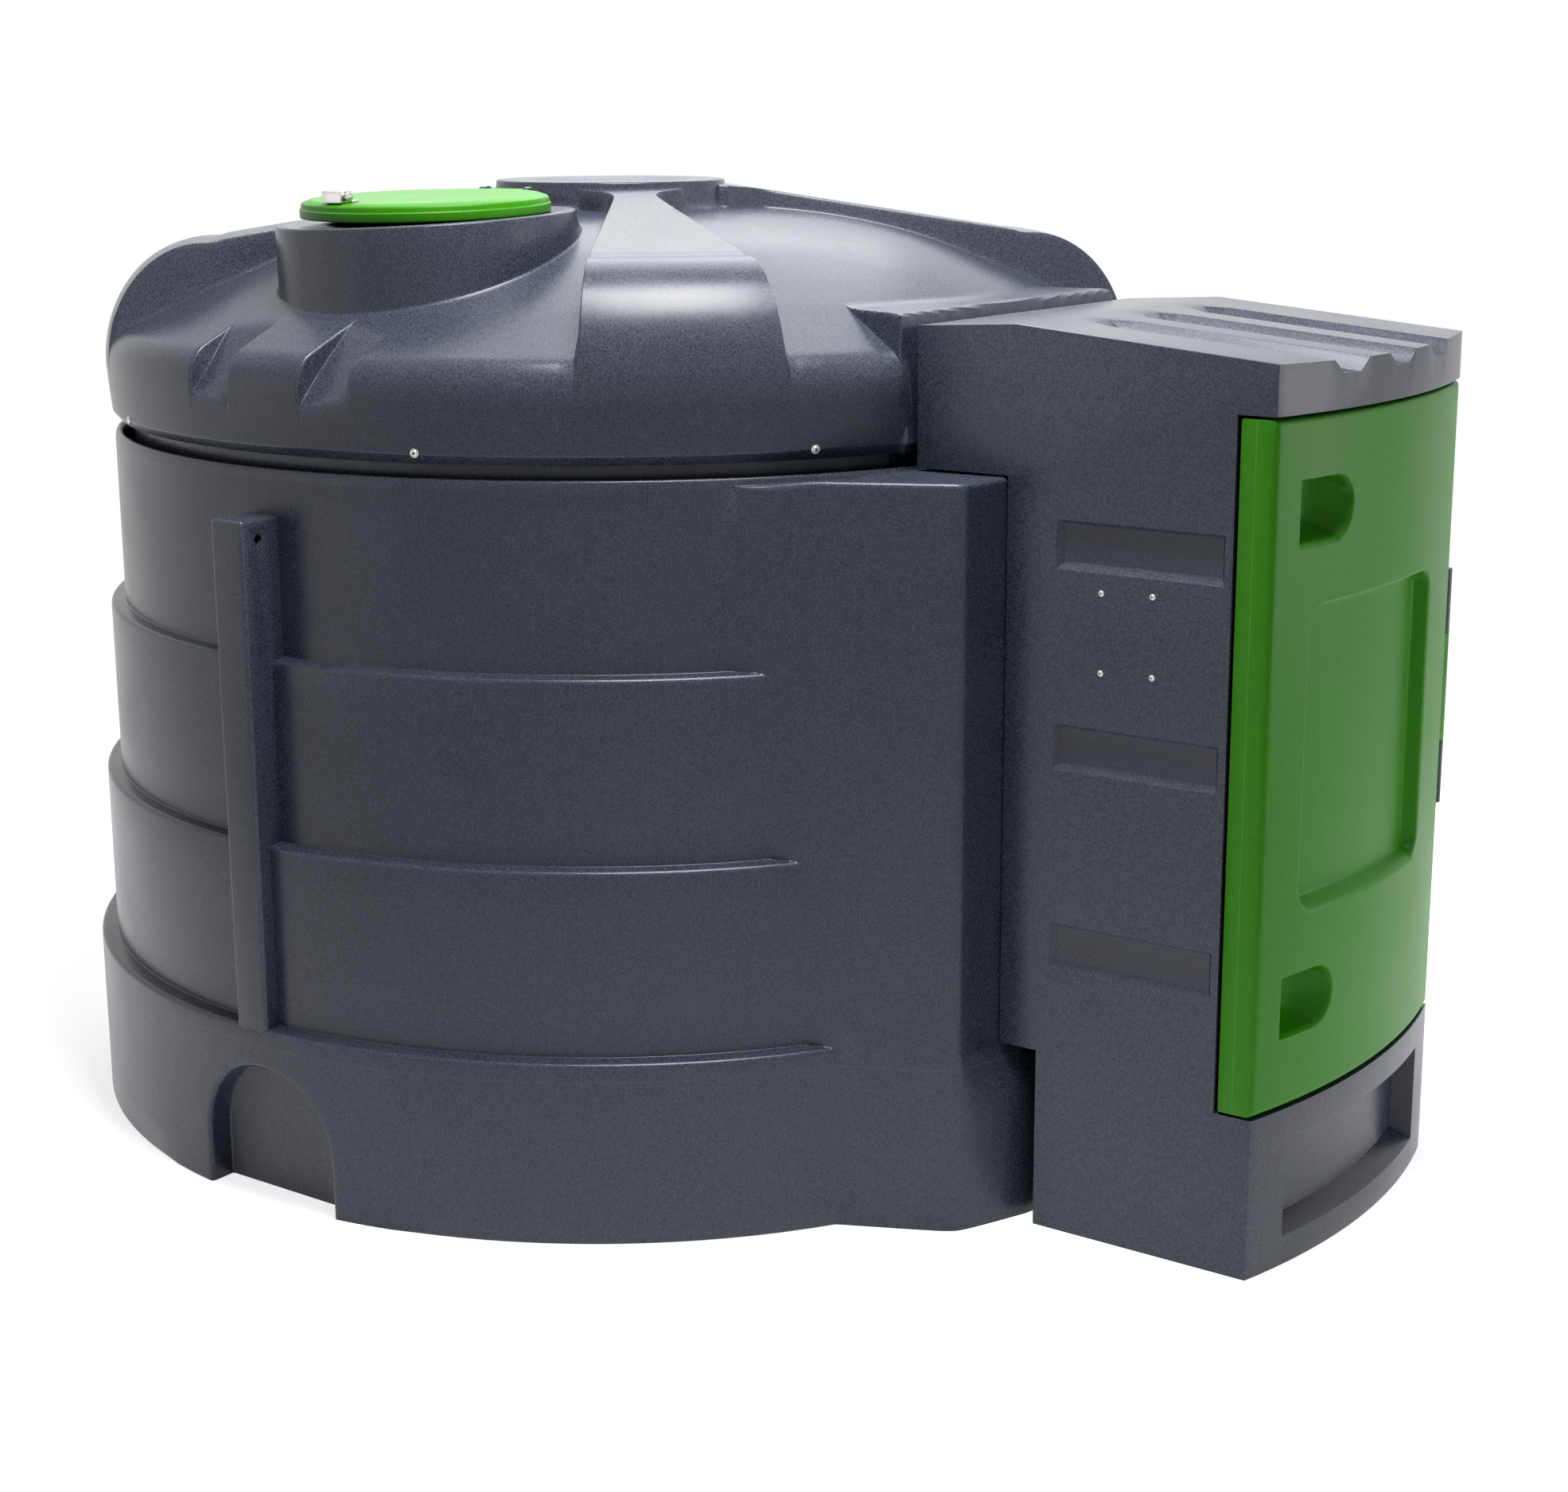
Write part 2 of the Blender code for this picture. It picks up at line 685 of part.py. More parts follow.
def dome_inside():
    """The space under the plain skin, kept back from the flat front and from the notches."""
    seat = tank_radius - tank_wall
    upright = dome_edge_radius - dome_wall
    skin = [(0.0, dome_edge_height - clear_cut), (seat, dome_edge_height - clear_cut),
            (seat, dome_edge_height + dome_seat_depth), (upright, dome_edge_height + dome_seat_depth * 2.5),
            (upright, on_dome(*dome_curve[0])[1] + dome_wall * 0.8)]
    for radius_share, rise_share, walls in dome_lining:
        radius, height = on_dome(radius_share, rise_share)
        skin.append((radius, height - dome_wall * walls))
    inside = add_object("dome_inside", spun(skin, steps=72))
    backing = add_object("dome_front_backing", front_block(platform_front_x - dome_wall))
    combine(inside, backing, "DIFFERENCE")
    for side in (-1, 1):
        for number, angle in enumerate(notch_angles):
            backing = notch_wedge(f"notch_backing_{side}_{number}", angle, side, dome_wall)
            combine(inside, backing, "DIFFERENCE")
    return inside


def build_dome(material):
    """The outside first, then the inside cut from it, so the skin keeps its thickness."""
    dome = dome_outside(material)
    combine(dome, dome_inside(), "DIFFERENCE")
    combine(dome, ribs("dome_rib_hollows", dome_wall), "DIFFERENCE")
    hollow_top = hub_height - hub_dish_depth - dome_wall
    hollow_bottom = hub_height - 2.0 * hub_root_depth
    hub = [(0.0, hollow_bottom), (hub_radius - dome_wall, hollow_bottom),
           (hub_radius - dome_wall, hollow_top), (0.0, hollow_top)]
    combine(dome, add_object("dome_hub_hollow", spun(hub)), "DIFFERENCE")
    foot = neck_foot_radius - dome_wall
    deep = dome_wall * 5.0
    base = neck_base - deep
    neck = [(0.0, base), (foot, base), (foot, neck_height - neck_collar),
            (neck_top_radius - dome_wall, neck_height - dome_wall), (0.0, neck_height - dome_wall)]
    combine(dome, lean(add_object("dome_neck_hollow", spun(neck, (0.0, -neck_reach)))), "DIFFERENCE")
    inner = platform_half_width - dome_wall
    platform = box((platform_front_x - platform_root + deep, -inner, platform_base + deep),
                   (platform_front_x - dome_wall, inner, platform_height - dome_wall))
    combine(dome, add_object("dome_platform_hollow", platform), "DIFFERENCE")
    for side in (-1, 1):
        for number, angle in enumerate(notch_angles):
            combine(dome, notch_wedge(f"notch_{side}_{number}", angle, side), "DIFFERENCE")
    throat = prism(circle(throat_radius, (0.0, -neck_reach), 32),
                   neck_height - neck_collar, neck_height + clear_cut)
    combine(dome, lean(add_object("dome_throat", throat)), "DIFFERENCE")


# Cabinet

def front_x(y, inset=0.0):
    """X of the cabinet's curved front at a given y."""
    centre = cabinet_front_x - cabinet_front_radius
    radius = cabinet_front_radius - inset
    return centre + math.sqrt(radius * radius - y * y)


def front_outline(back_x, left, right, steps=12):
    """Plan outline from a straight back to the curved front."""
    points = [(back_x, left)]
    for k in range(steps + 1):
        y = left + (right - left) * k / steps
        points.append((front_x(y), y))
    points.append((back_x, right))
    return points


def hood_bottom():
    return rim_height + shoulder_rise + gap


def under_roof(x):
    return roof_height(x) - roof_thickness - gap


def cabinet_side_wall(name, side, material):
    """Flat side wall, notched at the foot and under the hood, with three shallow recesses."""
    back = nose_front_x + gap
    plinth_back = front_x(cabinet_half_width) - plinth_thickness
    brow_back = front_x(cabinet_half_width, roof_thickness) - gap
    outline = [(cabinet_foot_back_x, 0.0), (plinth_back, 0.0), (plinth_back, plinth_height),
               (cabinet_side_front_x, plinth_height), (cabinet_side_front_x, brow_bottom),
               (brow_back, brow_bottom), (brow_back, under_roof(brow_back) - roof_chamfer),
               (brow_back - roof_chamfer, under_roof(brow_back)),
               (roof_crest_x, under_roof(roof_crest_x)), (hood_back_x, under_roof(hood_back_x)),
               (hood_back_x, hood_bottom()), (back, hood_bottom()), (back, cabinet_foot_height),
               (cabinet_foot_back_x, cabinet_foot_height)]
    outer = cabinet_half_width

    def slab(label, slab_outline, near, far):
        low, high = sorted((side * near, side * far))
        return add_object(label, prism(slab_outline, low, high, "Y"), material)

    wall = slab(name, outline, outer - cabinet_wall, outer)
    opening = brow_bottom - plinth_height
    for number, shares in enumerate(side_recess_shares):
        low, high = (plinth_height + opening * share for share in shares)
        t = cabinet_wall
        backing = rounded_rectangle((side_recess_back_x - t, low - t),
                                    (side_recess_front_x + 0.4 * t, high + t), side_recess_corner, steps=2)
        deep = outer - side_recess_depth
        combine(wall, slab(f"{name}_backing_{number}", backing, deep - t, outer - 0.5 * t), "UNION")
        recess = rounded_rectangle((side_recess_back_x, low), (side_recess_front_x, high),
                                   side_recess_corner, steps=2)
        combine(wall, slab(f"{name}_recess_{number}", recess, deep, outer + clear_cut), "DIFFERENCE")
    return wall


def cabinet_back_wall(material):
    """Stepped back wall, from the foot over the bund's nose to the hood."""
    back = nose_front_x + gap
    t = cabinet_wall
    under = hood_bottom()
    outline = [(cabinet_foot_back_x, 0.0), (cabinet_foot_back_x, cabinet_foot_height),
               (back, cabinet_foot_height), (back, under), (hood_back_x, under),
               (hood_back_x, under_roof(hood_back_x)), (hood_back_x + t, under_roof(hood_back_x + t)),
               (hood_back_x + t, under + t),
               (back + t, under + t), (back + t, cabinet_foot_height + t),
               (cabinet_foot_back_x + t, cabinet_foot_height + t), (cabinet_foot_back_x + t, 0.0)]
    half = cabinet_half_width - cabinet_wall - gap
    return add_object("cabinet_back_wall", prism(outline, -half, half, "Y"), material)


def roof_lines():
    """(y, inner y, share of the groove's depth) across the roof, from left to right."""
    edge = cabinet_half_width
    lines = [(-edge, -edge, 0.0)]
    widen = roof_thickness * 0.5
    for number in (-1, 0, 1):
        y = number * groove_spacing
        for half, share, side in ((groove_top_width, 0.0, -1), (groove_bottom_width, 1.0, -1),
                                  (groove_bottom_width, 1.0, 1), (groove_top_width, 0.0, 1)):
            offset = side * half * 0.5
            lines.append((y + offset, y + offset + side * widen, share))
    return lines + [(edge, edge, 0.0)]


def roof_height(x):
    """Height of the roof's outer skin at a given x, without the grooves."""
    if x < roof_crest_x:
        share = (x - hood_back_x) / (roof_crest_x - hood_back_x)
        return roof_back_height + (roof_crest_height - roof_back_height) * share
    share = (x - roof_crest_x) / (cabinet_front_x - roof_crest_x)
    return roof_crest_height + (roof_front_height - roof_crest_height) * share


def cabinet_roof(material):
    """Roof cap: a sloping skin with three grooves, turned down at the front as a brow."""
    lines = roof_lines()
    rings = []

    def add_ring(outer_x, inner_x, deep, outer_z=None, inner_z=None):
        outer = []
        inner = []
        for y, inner_y, share in lines:
            x = outer_x(y)
            sunk = groove_depth * share * deep
            outer.append((x, y, roof_height(x) - sunk if outer_z is None else outer_z(x, sunk)))
            x = inner_x(y)
            inner.append((x, inner_y, roof_height(x) - sunk - roof_thickness if inner_z is None
                          else inner_z(x, sunk)))
        rings.append(outer + inner[::-1])

    for x, deep in ((hood_back_x, 0.0), (roof_crest_x, 0.0), (groove_start_x - groove_depth, 0.0),
                    (groove_start_x + groove_depth, 1.0)):
        add_ring(lambda y, x=x: x, lambda y, x=x: x, deep)
    add_ring(lambda y: front_x(y, roof_edge), lambda y: front_x(y, roof_thickness + roof_edge), 1.0)
    add_ring(front_x, lambda y: front_x(y, roof_thickness), 1.0,
             lambda x, sunk: roof_height(x) - sunk - roof_edge,
             lambda x, sunk: roof_height(x) - sunk - roof_thickness - roof_edge)
    add_ring(front_x, lambda y: front_x(y, roof_thickness), 1.0,
             lambda x, sunk: brow_bottom, lambda x, sunk: brow_bottom)
    return add_object("cabinet_roof", loft(rings), material)


def cabinet_plinth(material):
    outline = front_outline(front_x(cabinet_half_width) - plinth_thickness + gap,
                            -cabinet_half_width, cabinet_half_width)
    plinth = add_object("cabinet_plinth", prism(outline, 0.0, plinth_height), material)
    recess = add_object("plinth_recess", prism(
        front_band(plinth_recess_half_width, -plinth_recess_half_width, plinth_recess_depth),
        plinth_recess_bottom, plinth_recess_top))
    combine(plinth, recess, "DIFFERENCE")
    return plinth


def front_band(right, left, depth, steps=8):
    """Plan outline of a curved band that starts a depth behind the front face."""
    ys = [left + (right - left) * k / steps for k in range(steps + 1)]
    inner = [(front_x(y, depth), y) for y in ys]
    outer = [(front_x(y) + clear_cut, y) for y in reversed(ys)]
    return inner + outer


def cabinet_floor(material):
    half = cabinet_half_width - cabinet_wall - gap
    back = cabinet_foot_back_x + cabinet_wall + gap
    front = front_x(cabinet_half_width) - plinth_thickness
    bottom = plinth_height - cabinet_floor_thickness
    outline = [(back, -half), (front, -half), (front, half), (back, half)]
    return add_object("cabinet_floor", prism(outline, bottom, plinth_height), material)


def build_cabinet(material, steel):
    cabinet_side_wall("cabinet_left_wall", -1, material)
    cabinet_side_wall("cabinet_right_wall", 1, material)
    cabinet_back_wall(material)
    cabinet_roof(material)
    cabinet_plinth(material)
    cabinet_floor(material)
    hinge_lug("hinge_lug_lower", knuckle_bottom - gap - lug_height, material)
    hinge_lug("hinge_lug_upper", knuckle_top + gap, material)
    low = knuckle_bottom - gap - lug_height * 0.8
    high = knuckle_top + gap + lug_height * 0.8
    add_object("door_hinge_pin", prism(circle(pin_radius, (hinge_x, hinge_y), 16), low, high), steel)


def hinge_lug(name, bottom, material):
    """Grey arm on the right wall that carries the door's pin."""
    top = bottom + lug_height
    seat = cabinet_half_width + gap
    clear = door_right_y + swing_gap
    outline = [(lug_foot_back_x, seat), (cabinet_side_front_x - 0.004, seat),
               (cabinet_side_front_x, clear), (hinge_x, hinge_y - knuckle_radius)]
    for k in range(1, 8):
        angle = math.radians(-90.0 + 180.0 * k / 8)
        outline.append((hinge_x + knuckle_radius * math.cos(angle),
                        hinge_y + knuckle_radius * math.sin(angle)))
    outline += [(hinge_x, hinge_y + knuckle_radius),
                (lug_foot_back_x + lug_slope, hinge_y + knuckle_radius)]
    lug = add_object(name, prism(outline, bottom, top), material)
    bore = add_object(name + "_bore", prism(
        circle(pin_radius + pin_clearance, (hinge_x, hinge_y), 16), bottom - clear_cut, top + clear_cut))
    combine(lug, bore, "DIFFERENCE")
    return lug


# Door

def scoop_outline(bottom):
    """Finger pocket: straight on the left, round on the right, as (y, z)."""
    top = bottom + pocket_height
    radius = pocket_height * 0.5
    points = [(pocket_left_y, bottom), (pocket_right_y - radius, bottom)]
    for k in range(1, 8):
        angle = math.radians(-90.0 + 180.0 * k / 8)
        points.append((pocket_right_y - radius + radius * math.cos(angle),
                       bottom + radius + radius * math.sin(angle)))
    return points + [(pocket_right_y - radius, top), (pocket_left_y, top)]


def build_door(material):
    """Thick curved door with two finger pockets, a sunk panel and a hinge knuckle."""
    bottom = plinth_height + swing_gap
    top = brow_bottom - swing_gap
    back = cabinet_side_front_x + swing_gap
    pivot = bpy.data.objects.new("door_pivot", None)
    bpy.context.collection.objects.link(pivot)
    pivot.location = (hinge_x, hinge_y, 0.0)
    outline = front_outline(back, -cabinet_half_width, door_right_y)
    door = add_object("door", prism(outline, bottom, top), material)
    root = door_right_y - knuckle_root
    knuckle = [(hinge_x - knuckle_back, root), (hinge_x + knuckle_front, root),
               (hinge_x + knuckle_radius, hinge_y)]
    for k in range(1, 7):
        angle = math.radians(180.0 * k / 8)
        knuckle.append((hinge_x + knuckle_radius * math.cos(angle),
                        hinge_y + knuckle_radius * math.sin(angle)))
    knuckle.append((hinge_x - knuckle_shoulder, hinge_y + knuckle_radius * 0.6))
    combine(door, add_object("door_knuckle", prism(knuckle, knuckle_bottom, knuckle_top)), "UNION")
    bore = circle(pin_radius + pin_clearance, (hinge_x, hinge_y), 16)
    cutter = prism(bore, knuckle_bottom - clear_cut, knuckle_top + clear_cut)
    combine(door, add_object("door_bore", cutter), "DIFFERENCE")
    for number, low in enumerate(pocket_bottoms):
        floor = front_x(pocket_left_y) - pocket_depth
        scoop = prism(scoop_outline(low), floor, floor + 2.0 * clear_cut, "X")
        cut = add_object(f"door_pocket_{number}", scoop)
        combine(door, cut, "DIFFERENCE")
    panel = rounded_rectangle((panel_left_y, panel_bottom), (panel_right_y, panel_top), panel_corner)
    sunk = add_object("door_panel", prism(panel, back, cabinet_front_x + clear_cut, "X"))
    band = front_band(panel_right_y + clear_cut, panel_left_y - clear_cut, panel_depth)
    behind = add_object("door_panel_face", prism(band, panel_bottom - clear_cut, panel_top + clear_cut))
    combine(sunk, behind, "INTERSECT")
    combine(door, sunk, "DIFFERENCE")
    hang(pivot, [door])


# Manhole lid

def lid_pivot():
    """Empty on the lid's hinge line, after the neck's lean."""
    rise = math.atan(neck_lean)
    along = neck_reach - lid_hinge_reach
    up = lid_lip_gap + lid_thickness * 0.5
    pivot = bpy.data.objects.new("lid_pivot", None)
    bpy.context.collection.objects.link(pivot)
    pivot.location = (0.0, -neck_reach + along * math.cos(rise) - up * math.sin(rise),
                      neck_height + along * math.sin(rise) + up * math.cos(rise))
    return pivot


def hang(pivot, things):
    for thing in things:
        thing.parent = pivot
        thing.matrix_parent_inverse = Matrix.Translation(-Vector(pivot.location))


def build_lid(material, steel, housing):
    """Hinged lid with a tongue to its knuckle, its ears and pin, and the lock on its far side."""
    rest = neck_height + lid_lip_gap
    top = rest + lid_thickness
    hinge_z = rest + lid_thickness * 0.5
    hinge_at_y = -lid_hinge_reach
    centre_y = -neck_reach
    reach = lid_tongue_half_width
    profile = [(0.0, rest), (lid_radius - lid_foot, rest), (lid_radius, rest + lid_foot),
               (lid_radius, top - lid_bevel), (lid_radius - lid_bevel, top), (0.0, top)]
    lid = lean(add_object("manhole_lid", spun(profile, (0.0, centre_y)), material))
    tongue = box((-reach, centre_y + lid_radius * 0.8, rest + lid_tongue_inset),
                 (reach, hinge_at_y, top - lid_tongue_inset))
    combine(lid, lean(add_object("lid_tongue", tongue)), "UNION")
    round_end = prism(circle(lid_thickness * 0.5, (hinge_at_y, hinge_z), 16), -reach, reach, "X")
    combine(lid, lean(add_object("lid_knuckle", round_end)), "UNION")
    wide = reach + clear_cut
    bore = prism(circle(lid_pin_radius + pin_clearance, (hinge_at_y, hinge_z), 16), -wide, wide, "X")
    combine(lid, lean(add_object("lid_bore", bore)), "DIFFERENCE")
    for side, name in ((-1, "lid_ear_left"), (1, "lid_ear_right")):
        low, high = sorted((side * (reach + gap), side * (reach + gap + lid_ear_width)))
        ear = [(hinge_at_y - lid_ear_radius, neck_height + gap),
               (hinge_at_y + lid_ear_radius, neck_height + gap)]
        for k in range(9):
            angle = math.pi * k / 8
            ear.append((hinge_at_y + lid_ear_radius * math.cos(angle),
                        hinge_z + lid_ear_radius * math.sin(angle)))
        thing = lean(add_object(name, prism(ear, low, high, "X"), housing))
        hole = prism(circle(lid_pin_radius + pin_clearance, (hinge_at_y, hinge_z), 16), -wide, wide, "X")
        combine(thing, lean(add_object(name + "_hole", hole)), "DIFFERENCE")
    end = reach + gap + lid_ear_width
    pin = prism(circle(lid_pin_radius, (hinge_at_y, hinge_z), 16), -end, end, "X")
    lean(add_object("lid_hinge_pin", pin, steel))
    lock_y = centre_y - lid_radius + lock_edge_inset
    body = box((-lock_half_width, lock_y, top + gap),
               (lock_half_width, lock_y + lock_length, top + gap + lock_height))
    lock = lean(add_object("lid_lock", body, steel))
    hang(lid_pivot(), [lid, lock])


def main():
    clear_scene()
    shell = make_material("polyethylene_grey", (0.052, 0.058, 0.072), 0.55)
    green = make_material("polyethylene_green", (0.05, 0.32, 0.02), 0.38)
    steel = make_material("stainless_steel", (0.60, 0.60, 0.58), 0.30, 1.0)
    build_bund(shell)
    build_inner_tank(shell)
    build_dome(shell)
    build_cabinet(shell, steel)
    build_door(green)
    build_lid(green, steel, shell)


main()
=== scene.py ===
import math

import bmesh
import bpy
import numpy as np
from mathutils import Matrix, Vector


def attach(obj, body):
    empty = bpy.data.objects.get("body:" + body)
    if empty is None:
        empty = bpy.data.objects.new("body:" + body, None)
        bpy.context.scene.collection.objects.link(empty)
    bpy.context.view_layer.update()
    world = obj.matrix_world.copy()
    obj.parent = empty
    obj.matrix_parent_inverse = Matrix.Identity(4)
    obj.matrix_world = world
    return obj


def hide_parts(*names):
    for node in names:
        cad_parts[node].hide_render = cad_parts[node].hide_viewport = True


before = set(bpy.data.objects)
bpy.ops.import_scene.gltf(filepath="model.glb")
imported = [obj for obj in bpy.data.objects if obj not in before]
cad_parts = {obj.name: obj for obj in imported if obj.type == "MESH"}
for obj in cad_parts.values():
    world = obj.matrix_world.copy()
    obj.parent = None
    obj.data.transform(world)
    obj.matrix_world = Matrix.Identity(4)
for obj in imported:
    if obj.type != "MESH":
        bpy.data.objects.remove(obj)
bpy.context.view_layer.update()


# Camera and studio

cameraSetup = {"place": (3.6616, -4.4927, 2.0696), "azimuth": 35.8076, "pitch": 13.595, "roll": -0.245,
               "pixels": 1971, "focalPixels": 3390.1}


def buildCamera(setup):
    azimuth, pitch, roll = (math.radians(setup[key]) for key in ("azimuth", "pitch", "roll"))
    level = math.cos(pitch)
    ahead = Vector((-math.sin(azimuth) * level, math.cos(azimuth) * level, -math.sin(pitch)))
    right = Vector((math.cos(azimuth), math.sin(azimuth), 0.0))
    up = right.cross(ahead)
    across = math.cos(roll) * right + math.sin(roll) * up
    upward = math.cos(roll) * up - math.sin(roll) * right
    data = bpy.data.cameras.new("camera")
    data.sensor_width = 36.0
    data.lens = setup["focalPixels"] / setup["pixels"] * data.sensor_width
    thing = bpy.data.objects.new("camera", data)
    bpy.context.collection.objects.link(thing)
    turn = Matrix((across, upward, -ahead)).transposed().to_4x4()
    thing.matrix_world = Matrix.Translation(setup["place"]) @ turn
    bpy.context.scene.camera = thing


# Each lamp has its place, what it points at, its size and its power
studio = {"roomLight": 0.02, "roomColour": (0.93, 0.96, 1.0, 1.0), "backdrop": (1.0, 1.0, 1.0, 1.0),
          "floorSize": 3.6, "floorDrop": 0.0005, "floorColour": (0.88, 0.88, 0.90, 1.0), "floorGlow": 0.78,
          "lamps": {"overFront": ((1.25, -0.85, 4.6), (0.8, -0.5, 1.0), (1.6, 1.6), 200.0),
                    "overBack": ((-1.6, 2.2, 4.4), (0.0, 0.2, 1.2), (3.0, 3.0), 62.0),
                    "backTop": ((-2.6, 5.6, 3.4), (0.0, 0.0, 1.6), (6.0, 2.8), 14.0),
                    "rightLow": ((5.6, 2.4, 1.2), (1.5, 0.0, 0.9), (2.6, 2.2), 58.0),
                    "left": ((-5.4, -3.0, 1.4), (-0.5, -0.5, 0.8), (3.0, 2.4), 3.0),
                    "frontLeft": ((-3.0, -5.2, 1.5), (0.0, 0.0, 0.8), (4.5, 2.8), 18.0)}}


def emptyTree(owner):
    owner.use_nodes = True
    owner.node_tree.nodes.clear()
    return owner.node_tree.nodes, owner.node_tree.links


def mixSeen(nodes, links, plain, seen, output):
    # Camera, glossy and transmission rays get the seen shader, all others the plain one
    path = nodes.new("ShaderNodeLightPath")
    total = path.outputs["Is Camera Ray"]
    for other in ("Is Glossy Ray", "Is Transmission Ray"):
        total = mathNode(nodes, links, "ADD", total, path.outputs[other], clamp=True)
    mix = nodes.new("ShaderNodeMixShader")
    for slot, source in zip(mix.inputs, (total, plain.outputs[0], seen.outputs[0])):
        links.new(source, slot)
    links.new(mix.outputs[0], nodes.new(output).inputs[0])


def buildStudio(setup):
    scene = bpy.context.scene
    scene.view_settings.view_transform = "Standard"
    scene.world = bpy.data.worlds.new("studio")
    nodes, links = emptyTree(scene.world)
    seen, room = nodes.new("ShaderNodeBackground"), nodes.new("ShaderNodeBackground")
    seen.inputs["Color"].default_value = setup["backdrop"]
    room.inputs["Color"].default_value = setup["roomColour"]
    room.inputs["Strength"].default_value = setup["roomLight"]
    mixSeen(nodes, links, room, seen, "ShaderNodeOutputWorld")

    size = setup["floorSize"]
    corners = [(-size, -size, 0.0), (size, -size, 0.0), (size, size, 0.0), (-size, size, 0.0)]
    mesh = meshFrom("floor", corners, [(0, 1, 2, 3)])
    floor = bpy.data.objects.new("floor", mesh)
    floor.location = (0.0, 0.0, -setup["floorDrop"])
    bpy.context.collection.objects.link(floor)
    material = bpy.data.materials.new("floor")
    nodes, links = emptyTree(material)
    matte, glow = nodes.new("ShaderNodeBsdfDiffuse"), nodes.new("ShaderNodeEmission")
    matte.inputs["Color"].default_value = setup["floorColour"]
    glow.inputs["Strength"].default_value = setup["floorGlow"]
    both = nodes.new("ShaderNodeAddShader")
    links.new(matte.outputs[0], both.inputs[0])
    links.new(glow.outputs[0], both.inputs[1])
    mixSeen(nodes, links, matte, both, "ShaderNodeOutputMaterial")
    mesh.materials.append(material)

    for name, (place, aim, extent, power) in setup["lamps"].items():
        light = bpy.data.lights.new(name, "AREA")
        light.shape = "RECTANGLE"
        light.size, light.size_y = extent
        light.energy = power
        thing = bpy.data.objects.new(name, light)
        bpy.context.collection.objects.link(thing)
        thing.location = place
        thing.rotation_euler = (Vector(aim) - Vector(place)).to_track_quat("-Z", "Y").to_euler()


# Materials

def mathNode(nodes, links, operation, first, second=0.0, third=0.0, clamp=False):
    node = nodes.new("ShaderNodeMath")
    node.operation = operation
    node.use_clamp = clamp
    for slot, value in zip(node.inputs, (first, second, third)):
        if isinstance(value, (int, float)):
            slot.default_value = value
        else:
            links.new(value, slot)
    return node.outputs[0]


def noiseNode(nodes, links, where, detail, scale):
    noise = nodes.new("ShaderNodeTexNoise")
    noise.inputs["Detail"].default_value = detail
    if isinstance(scale, float):
        noise.inputs["Scale"].default_value = scale
    else:
        links.new(scale, noise.inputs["Scale"])
    links.new(where, noise.inputs["Vector"])
    return noise.outputs["Fac"]


def mixColours(nodes, links, factor, first, second):
    # Either colour is a plain value or comes from a socket
    mix = nodes.new("ShaderNodeMix")
    mix.data_type = "RGBA"
    links.new(factor, mix.inputs["Factor"])
    for key, colour in (("A", first), ("B", second)):
        if isinstance(colour, tuple):
            mix.inputs[key].default_value = colour
        else:
            links.new(colour, mix.inputs[key])
    return mix.outputs["Result"]


def bumpNode(nodes, links, height, settings):
    bump = nodes.new("ShaderNodeBump")
    for key, value in settings.items():
        bump.inputs[key].default_value = value
    links.new(height, bump.inputs["Height"])
    return bump.outputs[0]


def startGroup(name, inputs, outputs):
    # An input without a default value is a colour
    group = bpy.data.node_groups.new(name, "ShaderNodeTree")
    for key, value in inputs.items():
        kind = "NodeSocketColor" if value is None else "NodeSocketFloat"
        socket = group.interface.new_socket(name=key, in_out="INPUT", socket_type=kind)
        if value is not None:
            socket.default_value = value
    for key, kind in outputs.items():
        group.interface.new_socket(name=key, in_out="OUTPUT", socket_type=kind)
    nodes = group.nodes
    return group, nodes, group.links, nodes.new("NodeGroupInput").outputs, nodes.new("NodeGroupOutput").inputs


def makeSkinGroup():
    # Rotomoulded skin: fine flecks with their bump, and soft clouds in the colour and the roughness
    group, nodes, links, given, put = startGroup(
        "MouldedSkin", {"Body colour": None, "Fleck colour": None, "Fleck scale": 420.0, "Fleck share": 0.5,
                        "Cloud share": 0.12, "Roughness": 0.5, "Bump height": 0.0002},
        {"Colour": "NodeSocketColor", "Roughness": "NodeSocketFloat", "Normal": "NodeSocketVector"})
    where = nodes.new("ShaderNodeTexCoord").outputs["Object"]
    fleck = noiseNode(nodes, links, where, 2.0, given["Fleck scale"])
    sharp = nodes.new("ShaderNodeMapRange")
    sharp.inputs["From Min"].default_value = 0.38
    sharp.inputs["From Max"].default_value = 0.68
    links.new(fleck, sharp.inputs["Value"])
    share = mathNode(nodes, links, "MULTIPLY", sharp.outputs[0], given["Fleck share"])
    cloud = mathNode(nodes, links, "SUBTRACT", noiseNode(nodes, links, where, 5.0, 5.0), 0.5)
    toned = nodes.new("ShaderNodeVectorMath")
    toned.operation = "SCALE"
    links.new(mixColours(nodes, links, share, given["Body colour"], given["Fleck colour"]), toned.inputs[0])
    links.new(mathNode(nodes, links, "MULTIPLY_ADD", cloud, given["Cloud share"], 1.0), toned.inputs["Scale"])
    links.new(toned.outputs[0], put["Colour"])
    change = mathNode(nodes, links, "MULTIPLY_ADD", cloud, 0.16, given["Roughness"])
    links.new(mathNode(nodes, links, "MULTIPLY_ADD", sharp.outputs[0], 0.05, change), put["Roughness"])
    height = mathNode(nodes, links, "MULTIPLY", fleck, given["Bump height"])
    links.new(bumpNode(nodes, links, height, {"Distance": 1.0}), put["Normal"])
    return group


